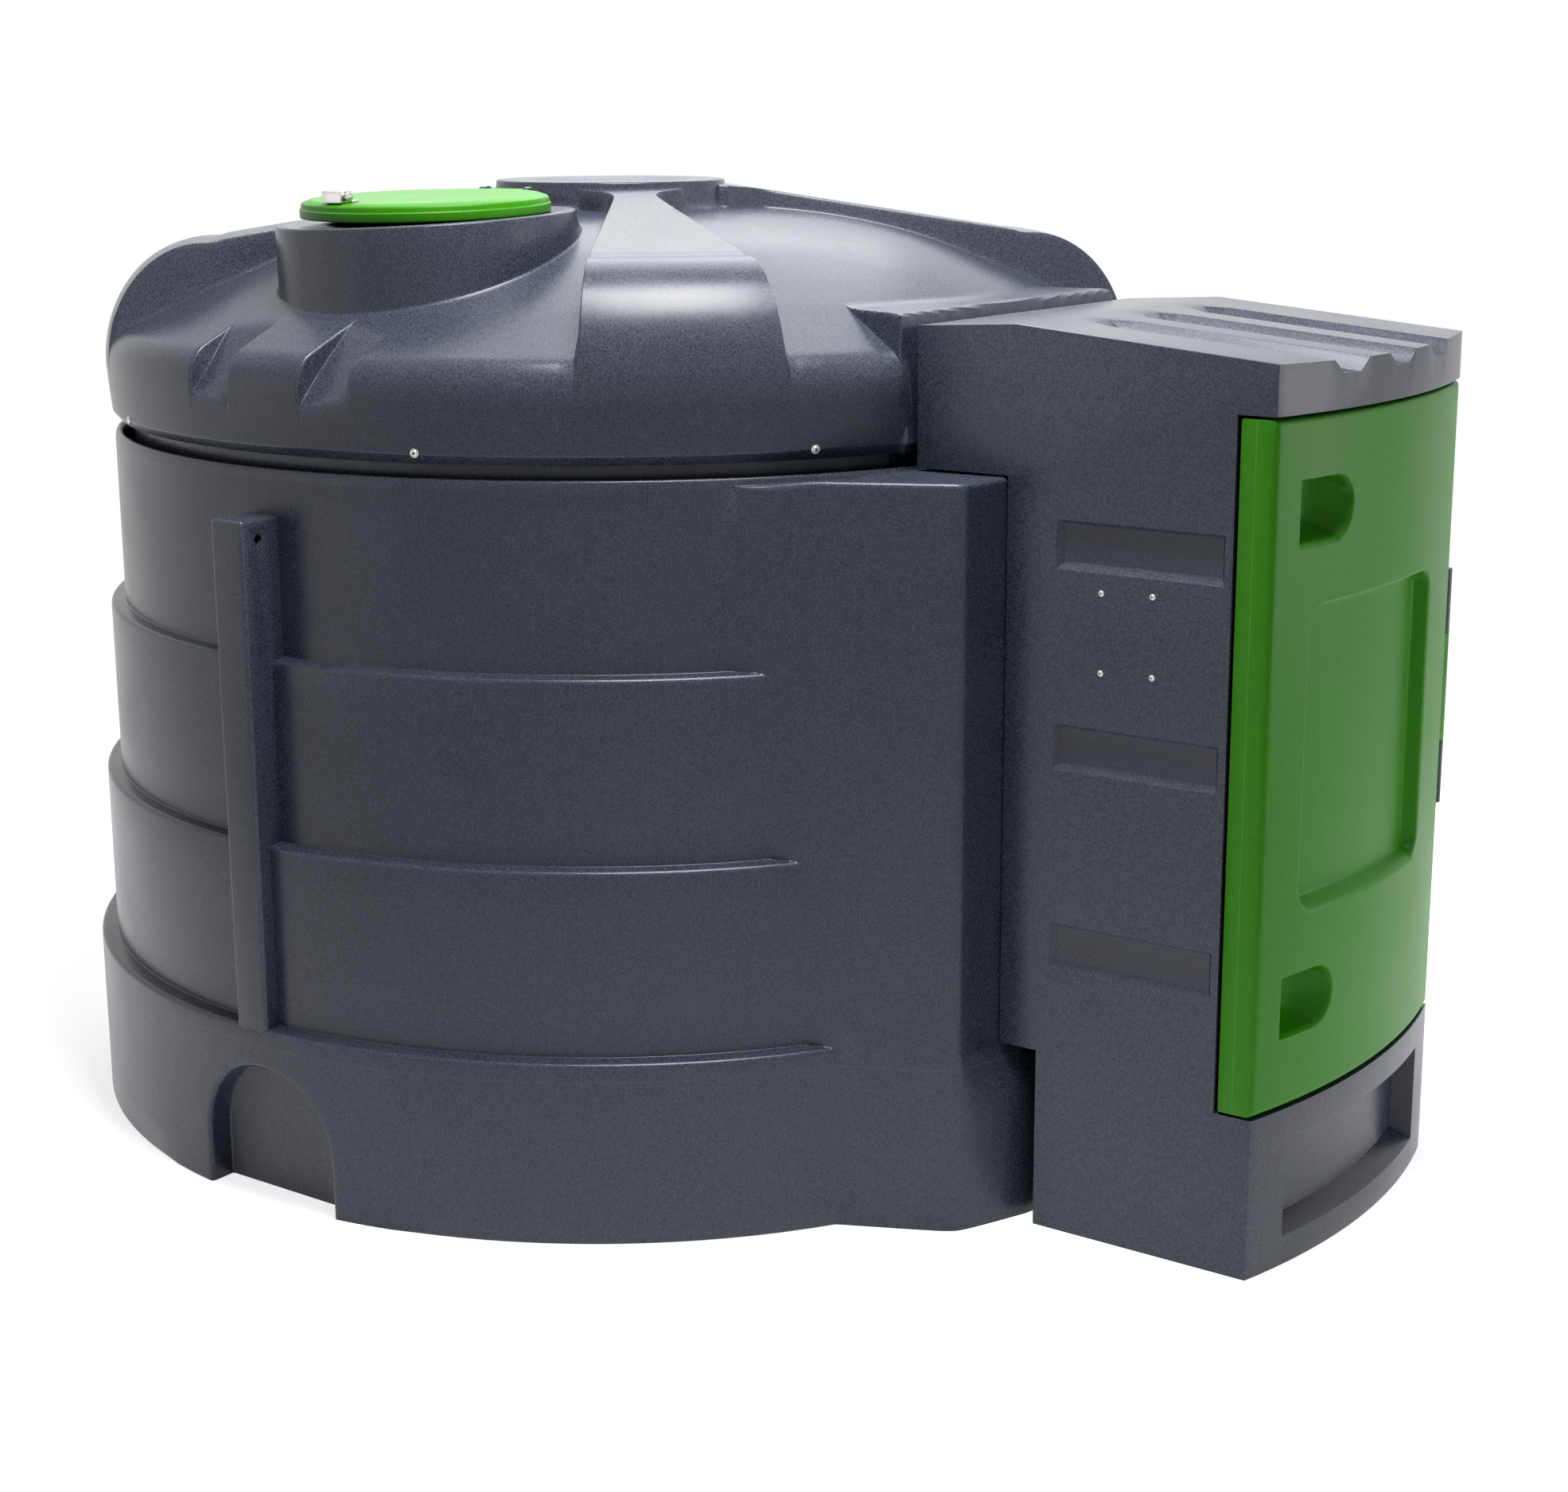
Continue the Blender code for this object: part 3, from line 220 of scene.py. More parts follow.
def makeSeamHighlightGroup():
    # A painted highlight along a thin mould seam: a mask where one coordinate is close to a given level
    group, nodes, links, given, put = startGroup(
        "SeamHighlightMask", {"Level": 0.3, "Coordinate": 0.0, "Half width": 0.001}, {"Mask": "NodeSocketFloat"})
    away = mathNode(nodes, links, "SUBTRACT", given["Coordinate"], given["Level"])
    share = mathNode(nodes, links, "DIVIDE", mathNode(nodes, links, "ABSOLUTE", away), given["Half width"])
    links.new(mathNode(nodes, links, "SUBTRACT", 1.0, share, clamp=True), put["Mask"])
    return group


skinGroup = makeSkinGroup()
seamHighlightGroup = makeSeamHighlightGroup()


def startMaterial(name, shader):
    material = bpy.data.materials.new(name)
    material.use_nodes = True
    slots = material.node_tree.nodes["Principled BSDF"].inputs
    for key, value in shader.items():
        slots[key].default_value = value
    return material, material.node_tree.nodes, material.node_tree.links, slots


def placeGroup(nodes, group, values):
    node = nodes.new("ShaderNodeGroup")
    node.node_tree = group
    for key, value in values.items():
        node.inputs[key].default_value = value
    return node


def makePlastic(name, skin, shader):
    material, nodes, links, slots = startMaterial(name, shader)
    node = placeGroup(nodes, skinGroup, skin)
    for output, slot in (("Colour", "Base Color"), ("Roughness", "Roughness"), ("Normal", "Normal")):
        links.new(node.outputs[output], slots[slot])
    return material


def paintSeamHighlight(material, colour, line, bound=None):
    # Lightens the colour on a thin line, a painted highlight along a raised mould seam; line and its bound
    # hold an axis, a level and a half width
    nodes, links = material.node_tree.nodes, material.node_tree.links
    base = nodes["Principled BSDF"].inputs["Base Color"]
    source = base.links[0].from_socket
    split = nodes.new("ShaderNodeSeparateXYZ")
    links.new(nodes.new("ShaderNodeTexCoord").outputs["Object"], split.inputs[0])

    def maskOf(axis, level, halfWidth):
        node = placeGroup(nodes, seamHighlightGroup, {"Level": level, "Half width": halfWidth})
        links.new(split.outputs[axis], node.inputs["Coordinate"])
        return node.outputs["Mask"]

    mask = maskOf(*line)
    if bound:
        inside = mathNode(nodes, links, "GREATER_THAN", maskOf(*bound), 0.01)
        mask = mathNode(nodes, links, "MULTIPLY", mask, inside)
    links.new(mixColours(nodes, links, mask, source, colour), base)


greySkin = {"Body colour": (0.020, 0.024, 0.037, 1.0), "Fleck colour": (0.108, 0.120, 0.170, 1.0),
            "Fleck scale": 330.0, "Fleck share": 0.75, "Cloud share": 0.34, "Roughness": 0.26,
            "Bump height": 0.00014}
greenSkin = {"Body colour": (0.042, 0.265, 0.003, 1.0), "Fleck colour": (0.058, 0.310, 0.007, 1.0),
             "Fleck scale": 90.0, "Fleck share": 0.5, "Cloud share": 0.10, "Roughness": 0.36,
             "Bump height": 0.00002}
greyShader = {"IOR": 1.52, "Specular IOR Level": 0.34}
greenShader = {"IOR": 1.50, "Specular IOR Level": 0.18}

greyPlastic = makePlastic("greyPolyethylene", greySkin, greyShader)
# The bund's copy of the grey plastic carries a painted highlight: a lighter line at height 0.317 stands in
# for light catching the raised mould seam round the skirt
bundPlasticSeamLit = makePlastic("bundPolyethyleneSeamLit", greySkin, greyShader)
paintSeamHighlight(bundPlasticSeamLit, (0.11, 0.12, 0.14, 1.0), ("Z", 0.317, 0.0011))
greenPlastic = makePlastic("greenPolyethylene", greenSkin, greenShader)
# The door's copy of the green plastic carries a painted highlight: a lighter line at x 1.676 on the side near
# y -0.390 stands in for light catching the mould seam where the side face turns
doorPlasticSeamLit = makePlastic("doorPolyethyleneSeamLit", greenSkin, greenShader)
paintSeamHighlight(doorPlasticSeamLit, (0.11, 0.40, 0.05, 1.0), ("X", 1.676, 0.0012), ("Y", -0.390, 0.012))

metal = {"light": (0.66, 0.64, 0.60, 1.0), "dark": 0.75, "roughness": 0.16, "scratchRoughness": 0.18,
         "scratchScale": 60.0, "scratchDetail": 4.0, "stretch": (1.0, 14.0, 14.0),
         "bump": {"Distance": 0.0001, "Strength": 0.4}}


def makeSteel(name, look):
    material, nodes, links, slots = startMaterial(name, {"Metallic": 1.0})
    stretch = nodes.new("ShaderNodeMapping")
    stretch.inputs["Scale"].default_value = look["stretch"]
    links.new(nodes.new("ShaderNodeTexCoord").outputs["Object"], stretch.inputs["Vector"])
    grain = noiseNode(nodes, links, stretch.outputs[0], look["scratchDetail"], look["scratchScale"])
    dark = (*[level * look["dark"] for level in look["light"][:3]], 1.0)
    links.new(mixColours(nodes, links, grain, dark, look["light"]), slots["Base Color"])
    rough = mathNode(nodes, links, "MULTIPLY_ADD", grain, look["scratchRoughness"], look["roughness"])
    links.new(rough, slots["Roughness"])
    links.new(bumpNode(nodes, links, grain, look["bump"]), slots["Normal"])
    return material


steel = makeSteel("nickelSteel", metal)


# Shared shape helpers

def reworked(mesh, weldWithin=0.0):
    # Welds vertices within the given distance, or without one turns all faces outward
    builder = bmesh.new()
    builder.from_mesh(mesh)
    if weldWithin:
        bmesh.ops.remove_doubles(builder, verts=builder.verts, dist=weldWithin)
    else:
        bmesh.ops.recalc_face_normals(builder, faces=builder.faces)
    builder.to_mesh(mesh)
    builder.free()
    return mesh


def addPiece(name, mesh, material, body, angle=40.0):
    thing = bpy.data.objects.new(name, reworked(mesh))
    bpy.context.collection.objects.link(thing)
    mesh.materials.clear()
    mesh.materials.append(material)
    mesh.shade_smooth()
    mesh.set_sharp_from_angle(angle=math.radians(angle))
    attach(thing, body)
    return thing


def meshFrom(name, vertices, faces):
    mesh = bpy.data.meshes.new(name)
    mesh.from_pydata([tuple(map(float, v)) for v in vertices], [], [tuple(map(int, f)) for f in faces])
    return mesh


def gridFaces(index):
    quads = np.stack([index[:-1, :-1], index[:-1, 1:], index[1:, 1:], index[1:, :-1]], axis=-1)
    return quads.reshape(-1, 4)


def closedGrid(rows):
    # Vertices, their numbers row by row, and faces that join the last column to the first
    points = np.array(rows)
    index = np.arange(points[..., 0].size).reshape(points.shape[:2])
    return points.reshape(-1, 3), index, gridFaces(np.hstack([index, index[:, :1]]))


def weldedRings(name, rings, within):
    vertices, _, faces = closedGrid(rings)
    return reworked(meshFrom(name, vertices, faces), weldWithin=within)


def around(turns, radius, height, centre=(0.0, 0.0)):
    # Points round a vertical axis; each value is one number or one per point
    parts = (centre[0] + radius * np.cos(turns), centre[1] + radius * np.sin(turns), height)
    return np.stack(np.broadcast_arrays(*parts), axis=-1)


def fullTurn(steps):
    return np.linspace(0.0, 2.0 * math.pi, steps, endpoint=False)


def arcSteps(steps, first=0, degrees=90.0):
    # Cosine and sine at even steps of an arc
    turns = [math.radians(degrees) * k / steps for k in range(first, steps + 1)]
    return [(math.cos(turn), math.sin(turn)) for turn in turns]


def stepped(first, *spans):
    # Values from the first one on; each span is given as its end and its number of steps
    values = [np.array([first])]
    for end, steps in spans:
        values.append(np.linspace(values[-1][-1], end, steps + 1)[1:])
    return np.concatenate(values)


def spun(name, profile, centre=(0.0, 0.0), steps=128):
    # Profile of (radius, height) turned about a vertical axis
    return weldedRings(name, [around(fullTurn(steps), r, z, centre) for r, z in profile], 0.00002)


def spunAlongX(name, profile, place, steps=32):
    # Profile of (radius, distance along +X) turned about that axis
    x, y, z = place
    rings = [[(x + d, y + r * math.cos(t), z + r * math.sin(t)) for t in fullTurn(steps)] for r, d in profile]
    return weldedRings(name, rings, 0.00001)


def roundedPath(points, radii, steps=5):
    # Fillets the corners of an open polyline of (a, b) points
    path = [points[0]]
    for k in range(1, len(points) - 1):
        before, here, after = (Vector(points[k + j]) for j in (-1, 0, 1))
        first, second = (before - here), (after - here)
        half = first.angle(second) * 0.5
        reach = min(radii[k] / max(math.tan(half), 1e-3), first.length * 0.49, second.length * 0.49)
        start, end = here + first.normalized() * reach, here + second.normalized() * reach
        for j in range(steps + 1):
            t = j / steps
            path.append(tuple((1 - t) ** 2 * start + 2 * t * (1 - t) * here + t ** 2 * end))
    path.append(points[-1])
    return path


def loftMesh(name, rings):
    vertices, index, faces = closedGrid(rings)
    return reworked(meshFrom(name, vertices, [*faces, index[0][::-1], index[-1]]))


def prismMesh(name, outline, low, high, axis="Z"):
    order = {"Z": (0, 1, 2), "Y": (0, 2, 1), "X": (2, 0, 1)}[axis]
    return loftMesh(name, [[[(a, b, level)[k] for k in order] for a, b in outline] for level in (low, high)])


def boxMesh(name, corner, opposite, low, high, axis="Z"):
    outline = [corner, (opposite[0], corner[1]), opposite, (corner[0], opposite[1])]
    return prismMesh(name, outline, low, high, axis)


def arcPoints(centre, radius, turns):
    return [(centre[0] + radius * math.cos(turn), centre[1] + radius * math.sin(turn)) for turn in turns]


def rodMesh(name, radius, centre, steps, low, high, axis="Z"):
    return prismMesh(name, arcPoints(centre, radius, fullTurn(steps)), low, high, axis)


def addRings(vertices, faces, previous, rings, closed=True):
    # Joins rings of new vertices to a chain of old ones, one after another; returns the last ring
    count = len(previous)
    for ring in rings:
        current = list(range(len(vertices), len(vertices) + count))
        vertices.extend(ring)
        faces += [(previous[k], previous[(k + 1) % count], current[(k + 1) % count], current[k])
                  for k in range(count if closed else count - 1)]
        previous = current
    return previous


def carved(name, mesh, bevel, segments, cuts=(), joins=(), laterCuts=(), angle=32.0):
    # Cuts, joins and cuts again with closed meshes, then rounds the edges; returns the finished mesh
    body = bpy.data.objects.new(name, mesh)
    bpy.context.collection.objects.link(body)
    helpers = [(other, "DIFFERENCE") for other in cuts] + [(other, "UNION") for other in joins]
    helpers += [(other, "DIFFERENCE") for other in laterCuts]
    extra = []
    for other, operation in helpers:
        thing = bpy.data.objects.new(name + "Helper", other)
        bpy.context.collection.objects.link(thing)
        extra.append(thing)
        modifier = body.modifiers.new(operation.title(), "BOOLEAN")
        modifier.operation = operation
        modifier.object = thing
    modifier = body.modifiers.new("Bevel", "BEVEL")
    modifier.width = bevel
    modifier.segments = segments
    modifier.limit_method = "ANGLE"
    modifier.angle_limit = math.radians(angle)
    graph = bpy.context.evaluated_depsgraph_get()
    finished = bpy.data.meshes.new_from_object(body.evaluated_get(graph))
    for thing in [body] + extra:
        bpy.data.objects.remove(thing, do_unlink=True)
    return finished


def smoothMax(first, second, k):
    return 0.5 * (first + second + np.sqrt((first - second) ** 2 + k * k))


def smoothMin(first, second, k):
    return 0.5 * (first + second - np.sqrt((first - second) ** 2 + k * k))


def smoothStep(low, high, value):
    t = np.clip((value - low) / (high - low), 0.0, 1.0)
    return t * t * (3.0 - 2.0 * t)


# Bund: one seamless shell for the walls, corners and nose

bund = {"skirtRadius": 1.150, "courseStep": 0.029, "firstStep": 0.004, "courseTops": (0.352, 0.707, 1.056),
        "footRound": 0.004, "ledgeRise": 0.002, "outerRound": 0.010, "innerRound": 0.002, "wallTop": 1.386,
        "rim": 1.408, "blend": 0.0012, "shoulderAngle": 64.3, "shoulderOffset": 0.970, "shoulderTop": 1.3925,
        "shoulderRound": 0.0095, "corner": (1.179, 0.509), "cornerRound": 0.016, "nose": (1.195, 0.400),
        "skirtNose": (1.245, 0.345), "noseRound": 0.006, "noseSeam": 0.333, "panelRows": 6}


def courseRadius(number):
    return bund["skirtRadius"] - bund["courseStep"] * number - (bund["firstStep"] if number else 0.0)


def wallStations():
    # The wall from the floor up, course by course, as (radius, height)
    big, small, level = bund["outerRound"], bund["innerRound"], bund["footRound"]
    stations = [(courseRadius(0) - 0.003, 0.0), (courseRadius(0), level)]
    for number, top in enumerate(bund["courseTops"]):
        radius, above = courseRadius(number), courseRadius(number + 1)
        stations += [(radius, level + (top - big - level) * k / 5) for k in range(1, 6)]
        stations += [(radius - big + big * c, top - big + big * s) for c, s in arcSteps(6, 1, 88.0)]
        level = top + bund["ledgeRise"] + small
        stations += [(above + small - small * s, level - small * c) for c, s in arcSteps(5)]
    return stations + [(courseRadius(3), level + (bund["wallTop"] - level) * k / 5) for k in range(1, 6)]


def linePolar(first, second, angle):
    normal = np.array((first[1] - second[1], second[0] - first[0]))
    normal = normal / np.linalg.norm(normal)
    return normal.dot(first) / np.maximum(normal[0] * np.cos(angle) + normal[1] * np.sin(angle), 0.2)


def offAxis(angle):
    # Turn away from +X, to either side
    return np.abs((angle + math.pi) % (2.0 * math.pi) - math.pi)


def shoulderRadius(angle, height):
    turn = np.minimum(offAxis(angle), math.radians(46.0))
    flat = bund["shoulderOffset"] / np.maximum(np.cos(turn - math.radians(bund["shoulderAngle"])), 0.5)
    shapes = []
    for nose in (bund["nose"], bund["skirtNose"]):
        corner = smoothMin(flat, linePolar(bund["corner"], nose, turn), bund["cornerRound"])
        shapes.append(smoothMin(corner, nose[0] / np.maximum(np.cos(turn), 0.5), bund["noseRound"]))
    low = smoothStep(bund["noseSeam"] + 0.006, bund["noseSeam"], height)
    return shapes[0] + (shapes[1] - shapes[0]) * low


def shoulderRows(angles):
    # Top edge of the shoulder, its flat top, and the rim that stands up behind it, as (radius, height)
    wall, plate = courseRadius(3), bund["shoulderTop"]
    edge = smoothMax(wall, shoulderRadius(angles, 1.3), bund["blend"])
    beyond = edge - wall - 0.001
    top = plate + 0.0125 * smoothStep(0.0, 0.08, beyond)
    size = 0.0006 + bund["shoulderRound"] * smoothStep(0.0, 0.03, beyond)
    # Level beside the hood, and farther round it falls a little towards the rim
    inner = plate + 0.0095 * smoothStep(30.0, 23.0, np.degrees(offAxis(angles)))
    rim, rimTop = wall - 0.0008, bund["rim"]
    upper = [(edge - size + size * c, top - size + size * s) for c, s in arcSteps(6)]
    upper += [(edge - size + (rim + 0.003 - edge + size) * share, top + (inner - top) * share)
              for share in (0.35, 0.7)]
    upper += [(rim + out, np.maximum(level, inner + rise)) for out, level, rise in (
        (0.0015, 1.3928, 0.0001), (0.0, 1.3940, 0.0004), (-0.0006, 1.3975, 0.0007))]
    # Away from the shoulder these rows run straight up the wall instead
    weight = smoothStep(0.0, 0.006, beyond)
    rows = []
    for number, (radius, level) in enumerate(upper):
        share = (number + 1) / (len(upper) + 1)
        plain, plainLevel = wall + 0.0003 - 0.0015 * share, bund["wallTop"] + 0.0150 * share
        rows.append((plain + (radius - plain) * weight, plainLevel + (level - plainLevel) * weight))
    return rows + [(rim - inset, level) for inset, level in (
        (0.0012, 1.4028), (0.003, 1.4062), (0.006, rimTop), (0.010, rimTop - 0.0006), (0.013, rimTop - 0.004),
        (0.014, 1.39), (0.014, 1.33))]


arch = {"centre": 0.020, "halfWidth": 0.162, "spring": 0.110, "back": 1.086, "edgeRound": 0.009,
        "taper": 0.004, "panel": 17.0, "legTurn": 50.0}


def buildBund():
    middle, reach = math.degrees(math.asin(arch["centre"] / bund["skirtRadius"])), arch["panel"]
    # Angles of the panel round each arch, on the right side and on the left side
    right = (90.0 - middle - reach, 90.0 - middle + reach)
    left = (270.0 + middle - reach, 270.0 + middle + reach)
    half = stepped(0.0, (17.6, 23), (19.2, 12), (22.6, 4), (24.1, 15), (31.4, 10), (40.6, 61), (45.0, 4))
    rest = stepped(45.0, (right[0], 19), (right[1], 30), (left[0], 89), (left[1], 30), (315.0, 19))
    degrees = np.concatenate([-half[::-1], half[1:], rest[1:-1]])
    angles = np.radians(degrees)
    circles, heights = np.array(wallStations()).T
    wall = smoothMax(circles[:, None], shoulderRadius(angles[None, :], heights[:, None]), bund["blend"])
    rows = list(zip(wall, heights)) + shoulderRows(angles)
    vertices, index, faces = closedGrid([around(angles, radius, level) for radius, level in rows])
    # The skirt's panels round the two arches are left out of the grid and filled by their own rings
    up = bund["panelRows"]
    kept = np.ones((len(rows) - 1, len(angles)), dtype=bool)
    vertices, panels = vertices.tolist(), []
    for edges, side in ((right, 1.0), (left, -1.0)):
        low, high = (int(np.argmin(abs(degrees - edge))) for edge in edges)
        kept[:up, low:high] = False
        chain = [*index[:up + 1, low], *index[up, low + 1:high], *index[:up + 1, high][::-1]]
        panels += archPanel(vertices, chain, side)
    mesh = meshFrom("bundShell", vertices, faces[kept.ravel()].tolist() + panels)
    shell = addPiece("bundShell", mesh, bundPlasticSeamLit, "tank", angle=50.0)
    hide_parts(*[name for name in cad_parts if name.startswith(
        ("bund_wall", "bund_corner", "bund_front", "shoulder_top"))])


def archPanel(vertices, chain, side):
    # Rings from the panel's border to the arch's edge, into the pocket and over its flat back
    half, spring, centre, size = (arch[key] for key in ("halfWidth", "spring", "centre", "edgeRound"))
    border = np.array([vertices[v] for v in chain])
    first, back = math.radians(arch["legTurn"]), side * arch["back"]
    # Each point on the arch as its share of the half width and its height
    legs = []
    for share in np.linspace(0.0, 1.0, bund["panelRows"] + 1):
        along = share * (spring + half * first)
        turn = max(0.0, (along - spring) / half)
        legs.append((math.cos(turn), min(along, spring) + half * math.sin(turn)))
    inside = len(chain) - 2 * len(legs)
    crown = [first + (math.pi - 2 * first) * (k + 1) / (inside + 1) for k in range(inside)]
    path = legs + [(math.cos(turn), spring + half * math.sin(turn)) for turn in crown]
    path += [(-share, level) for share, level in reversed(legs)]
    shares, levels = np.array(path).T
    if border[0][0] < centre:
        shares = -shares

    def archRing(grow):
        lifted = spring + (levels - spring) * (half + grow) / half
        return centre + shares * (half + grow), np.where(levels > spring, lifted, levels)

    def onSkin(x, z, sink=0.0):
        return np.stack([x, side * np.sqrt((bund["skirtRadius"] - sink) ** 2 - x ** 2), z], axis=-1)

    edge = np.array(archRing(size))
    outer = border[:, [0, 2]].T
    rings = [onSkin(*(outer + (edge - outer) * share)) for share in (0.30, 0.58, 0.80, 0.93, 1.0)]
    rings += [onSkin(*archRing(size - size * s), size - size * c) for c, s in arcSteps(5, 1)]
    x, y, z = onSkin(*archRing(0.0), size).T
    rings += [np.stack([x, y + (back - y) * share, z], axis=-1) for share in (0.5, 0.93)]
    x, z = archRing(-arch["taper"])
    rings += [np.stack([centre + (x - centre) * share, np.full(len(x), back), z], axis=-1)
              for share in (1.0, 0.6, 0.2, 0.0)]
    faces = []
    addRings(vertices, faces, chain, rings, closed=False)
    return faces


post = {"halfWidth": 0.040, "front": 1.149, "back": 1.045, "bottom": 0.336, "top": 1.322,
        "eyeRadius": 0.0088, "eyeOut": 1.107, "eyeHeight": 1.285, "eyeRound": 0.0012, "edgeRound": 0.008}


def buildPosts():
    half = post["halfWidth"]
    for name, side in (("postLeft", -1.0), ("postRight", 1.0)):
        low, high = sorted((side * post["back"], side * post["front"]))
        column = boxMesh(name, (low, post["bottom"]), (high, post["top"]), -half, half, "X")
        column = carved(name, column, bevel=post["edgeRound"], segments=4)
        place = (side * post["eyeOut"], post["eyeHeight"])
        eye = rodMesh(name + "Eye", post["eyeRadius"], place, 24, -0.2, 0.2, "X")
        column = carved(name, column, cuts=[eye], bevel=post["eyeRound"], segments=2, angle=60.0)
        thing = addPiece(name, column, greyPlastic, "tank")
        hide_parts("bund_wall_left_post" if side < 0 else "bund_wall_right_post")


# Dome: a polar grid that moves between the plain skin, the ribs, the platform and the notches

dome = {"skin": ((1.0615, 1.4510), (1.0635, 1.470), (1.0660, 1.500), (1.0678, 1.530), (1.0682, 1.545),
                 (1.0675, 1.560), (1.0655, 1.572), (1.0620, 1.5835), (1.0565, 1.5945), (1.0490, 1.6045),
                 (1.0405, 1.6128), (1.0320, 1.6178), (1.0200, 1.6232), (1.000, 1.632), (0.950, 1.654),
                 (0.900, 1.676), (0.850, 1.698), (0.714, 1.752), (0.600, 1.791), (0.450, 1.822),
                 (0.300, 1.838), (0.215, 1.843)),
        "lip": ((-0.0440, 1.455), (-0.0380, 1.4325), (-0.0190, 1.4325), (-0.0150, 1.4330), (-0.0130, 1.4345),
                (-0.0030, 1.4480), (-0.0008, 1.4495)),
        "stations": 96, "hubCentre": (-0.015, -0.010), "hubRadius": 0.239, "hubHeight": 1.8982,
        "ribBend": 0.866, "ribBendHeight": 1.543, "ribOut": 1.0690, "ribStart": 1.885, "ribStartRadius": 0.24,
        "ribSlope": 0.16, "ribDent": (0.845, 0.012, 0.0025), "ribRoot": 0.065, "ribRootReach": 0.410,
        "ribFlare": 0.19, "hubFlare": (0.078, 0.252, 0.018), "wallWidth": 0.013, "platformTop": 1.685,
        "platformFoot": 1.50, "platformX": (0.966, 0.986), "platformSides": (21.1, 22.6),
        "platformRise": 0.135}
rayCentre = np.array((0.75, 1.40))


def domeProfile():
    # Plain skin from the lower edge up over the shoulder to the hub, as (radius, height)
    path = np.array(dome["skin"])
    for _ in range(3):  # Chaikin's corner cutting
        cut = np.empty((2 * (len(path) - 1), 2))
        cut[0::2] = 0.75 * path[:-1] + 0.25 * path[1:]
        cut[1::2] = 0.25 * path[:-1] + 0.75 * path[1:]
        path = np.vstack([path[:1], cut, path[-1:]])
    along = np.concatenate([[0.0], np.cumsum(np.linalg.norm(np.diff(path, axis=0), axis=1))])
    # Closer stations over the shoulder
    shares = np.linspace(0.0, 1.0, dome["stations"]) ** 1.25 * along[-1]
    return np.stack([np.interp(shares, along, values) for values in path.T], axis=-1)


def toRays(points):
    away = points - rayCentre
    return np.arctan2(away[:, 1], away[:, 0]), np.hypot(away[:, 0], away[:, 1])


def fromRays(turn, reach):
    return rayCentre + np.stack([np.cos(turn), np.sin(turn)], axis=-1) * reach[:, None]


def reachAt(turn, path):
    # How far along each ray a profile is met
    known, reach = toRays(path)
    order = np.argsort(known)
    return np.interp(turn, known[order], reach[order])


def throwOnto(base, path):
    # Moves base stations onto another profile: straight up inside the ray centre, on rays outside it
    moved = base.copy()
    inner = base[:, 0] < rayCentre[0]
    upper = path[np.argsort(path[:, 0])]
    upper = upper[upper[:, 1] > 1.62]
    moved[inner, 1] = np.interp(base[inner, 0], upper[:, 0], upper[:, 1])
    turn = toRays(base[~inner])[0]
    moved[~inner] = fromRays(turn, reachAt(turn, path))
    return moved


def ribProfile(base):
    bend, bendHeight, start = dome["ribBend"], dome["ribBendHeight"], dome["ribStartRadius"]
    place, width, dent = dome["ribDent"]

    def ridge(r):
        return dome["ribStart"] - (r - start) * dome["ribSlope"]

    crest = [(r, ridge(r) - dent * math.exp(-((r - place) / width) ** 2))
             for r in np.linspace(0.20, bend, 60)]
    reach, drop = dome["ribOut"] - bend, ridge(bend) - bendHeight
    crest += [(bend + reach * math.sin(t), bendHeight + drop * math.cos(t))
              for t in np.linspace(0.02, math.pi / 2, 40)]
    return np.vstack([np.array(crest), base[base[:, 1] < bendHeight - 0.012][::-1]])


def ribHalfAngle(radius):
    # A straight taper that flares where the rib meets the hub
    flare, edge, fade = dome["hubFlare"]
    width = dome["ribRoot"] + (radius - dome["ribRootReach"]) * dome["ribFlare"]
    width = width + flare * np.exp(-(np.maximum(radius, edge) - edge) / fade)
    return np.arcsin(np.clip(width / radius, 0.0, 0.6))


def buildDome():
    base = domeProfile()
    rib = throwOnto(base, ribProfile(base))
    ribWall, wallSpan = ribHalfAngle(base[:, 0]), dome["wallWidth"] / base[:, 0]
    columns = []

    def addColumn(angle, blend):
        # The angle is one per station, and the blend is 0 for the plain skin and 1 for the rib
        columns.append((angle, base + (rib - base) * blend))

    wallSteps = np.linspace(0.0, 1.0, 11)
    for number in range(4):
        centre = math.radians(-135.0 + 90.0 * number)
        start = centre + ribWall + wallSpan * 0.5
        end = centre + math.radians(90.0) - ribWall - wallSpan * 0.5
        for share in np.linspace(-1.0, 1.0, 15):
            addColumn(centre + (ribWall - wallSpan * 0.5) * share, 1.0)
        for share in wallSteps[1:]:
            addColumn(centre + ribWall + wallSpan * (share - 0.5), 1.0 - smoothStep(0.0, 1.0, share))
        if number == 1:
            addPlatform(columns, start, end, base)
        elif number == 3:
            addPlain(columns, start, end, base, 45)
        else:
            addNotches(columns, start, end, base, 1.0 if number == 0 else -1.0)
        for share in wallSteps[:-1]:
            addColumn(end + wallSpan * share, smoothStep(0.0, 1.0, share))
    points = np.array([around(angle, profile[:, 0], profile[:, 1]) for angle, profile in columns])
    points = points.transpose(1, 0, 2)
    # The lower edge turns in to the tank's wall
    first = points[0]
    reach = np.hypot(first[:, 0], first[:, 1])
    lip = [np.column_stack([first[:, :2] * ((reach + out) / reach)[:, None], np.full(len(first), level)])
           for out, level in dome["lip"]]
    vertices, _, faces = closedGrid([*lip, *points])
    middles = vertices[faces].mean(axis=1)
    outside = np.hypot(middles[:, 0], middles[:, 1] + manhole["reach"]) > manhole["opening"]
    mesh = meshFrom("domeShell", vertices, faces[outside])
    shell = addPiece("domeShell", mesh, greyPlastic, "tank", angle=34.0)
    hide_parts("dome")
    return base


def addPlain(columns, start, end, base, steps):
    # Plain columns between two others
    columns += [(start + (end - start) * share, base) for share in np.linspace(0.0, 1.0, steps + 1)[1:-1]]


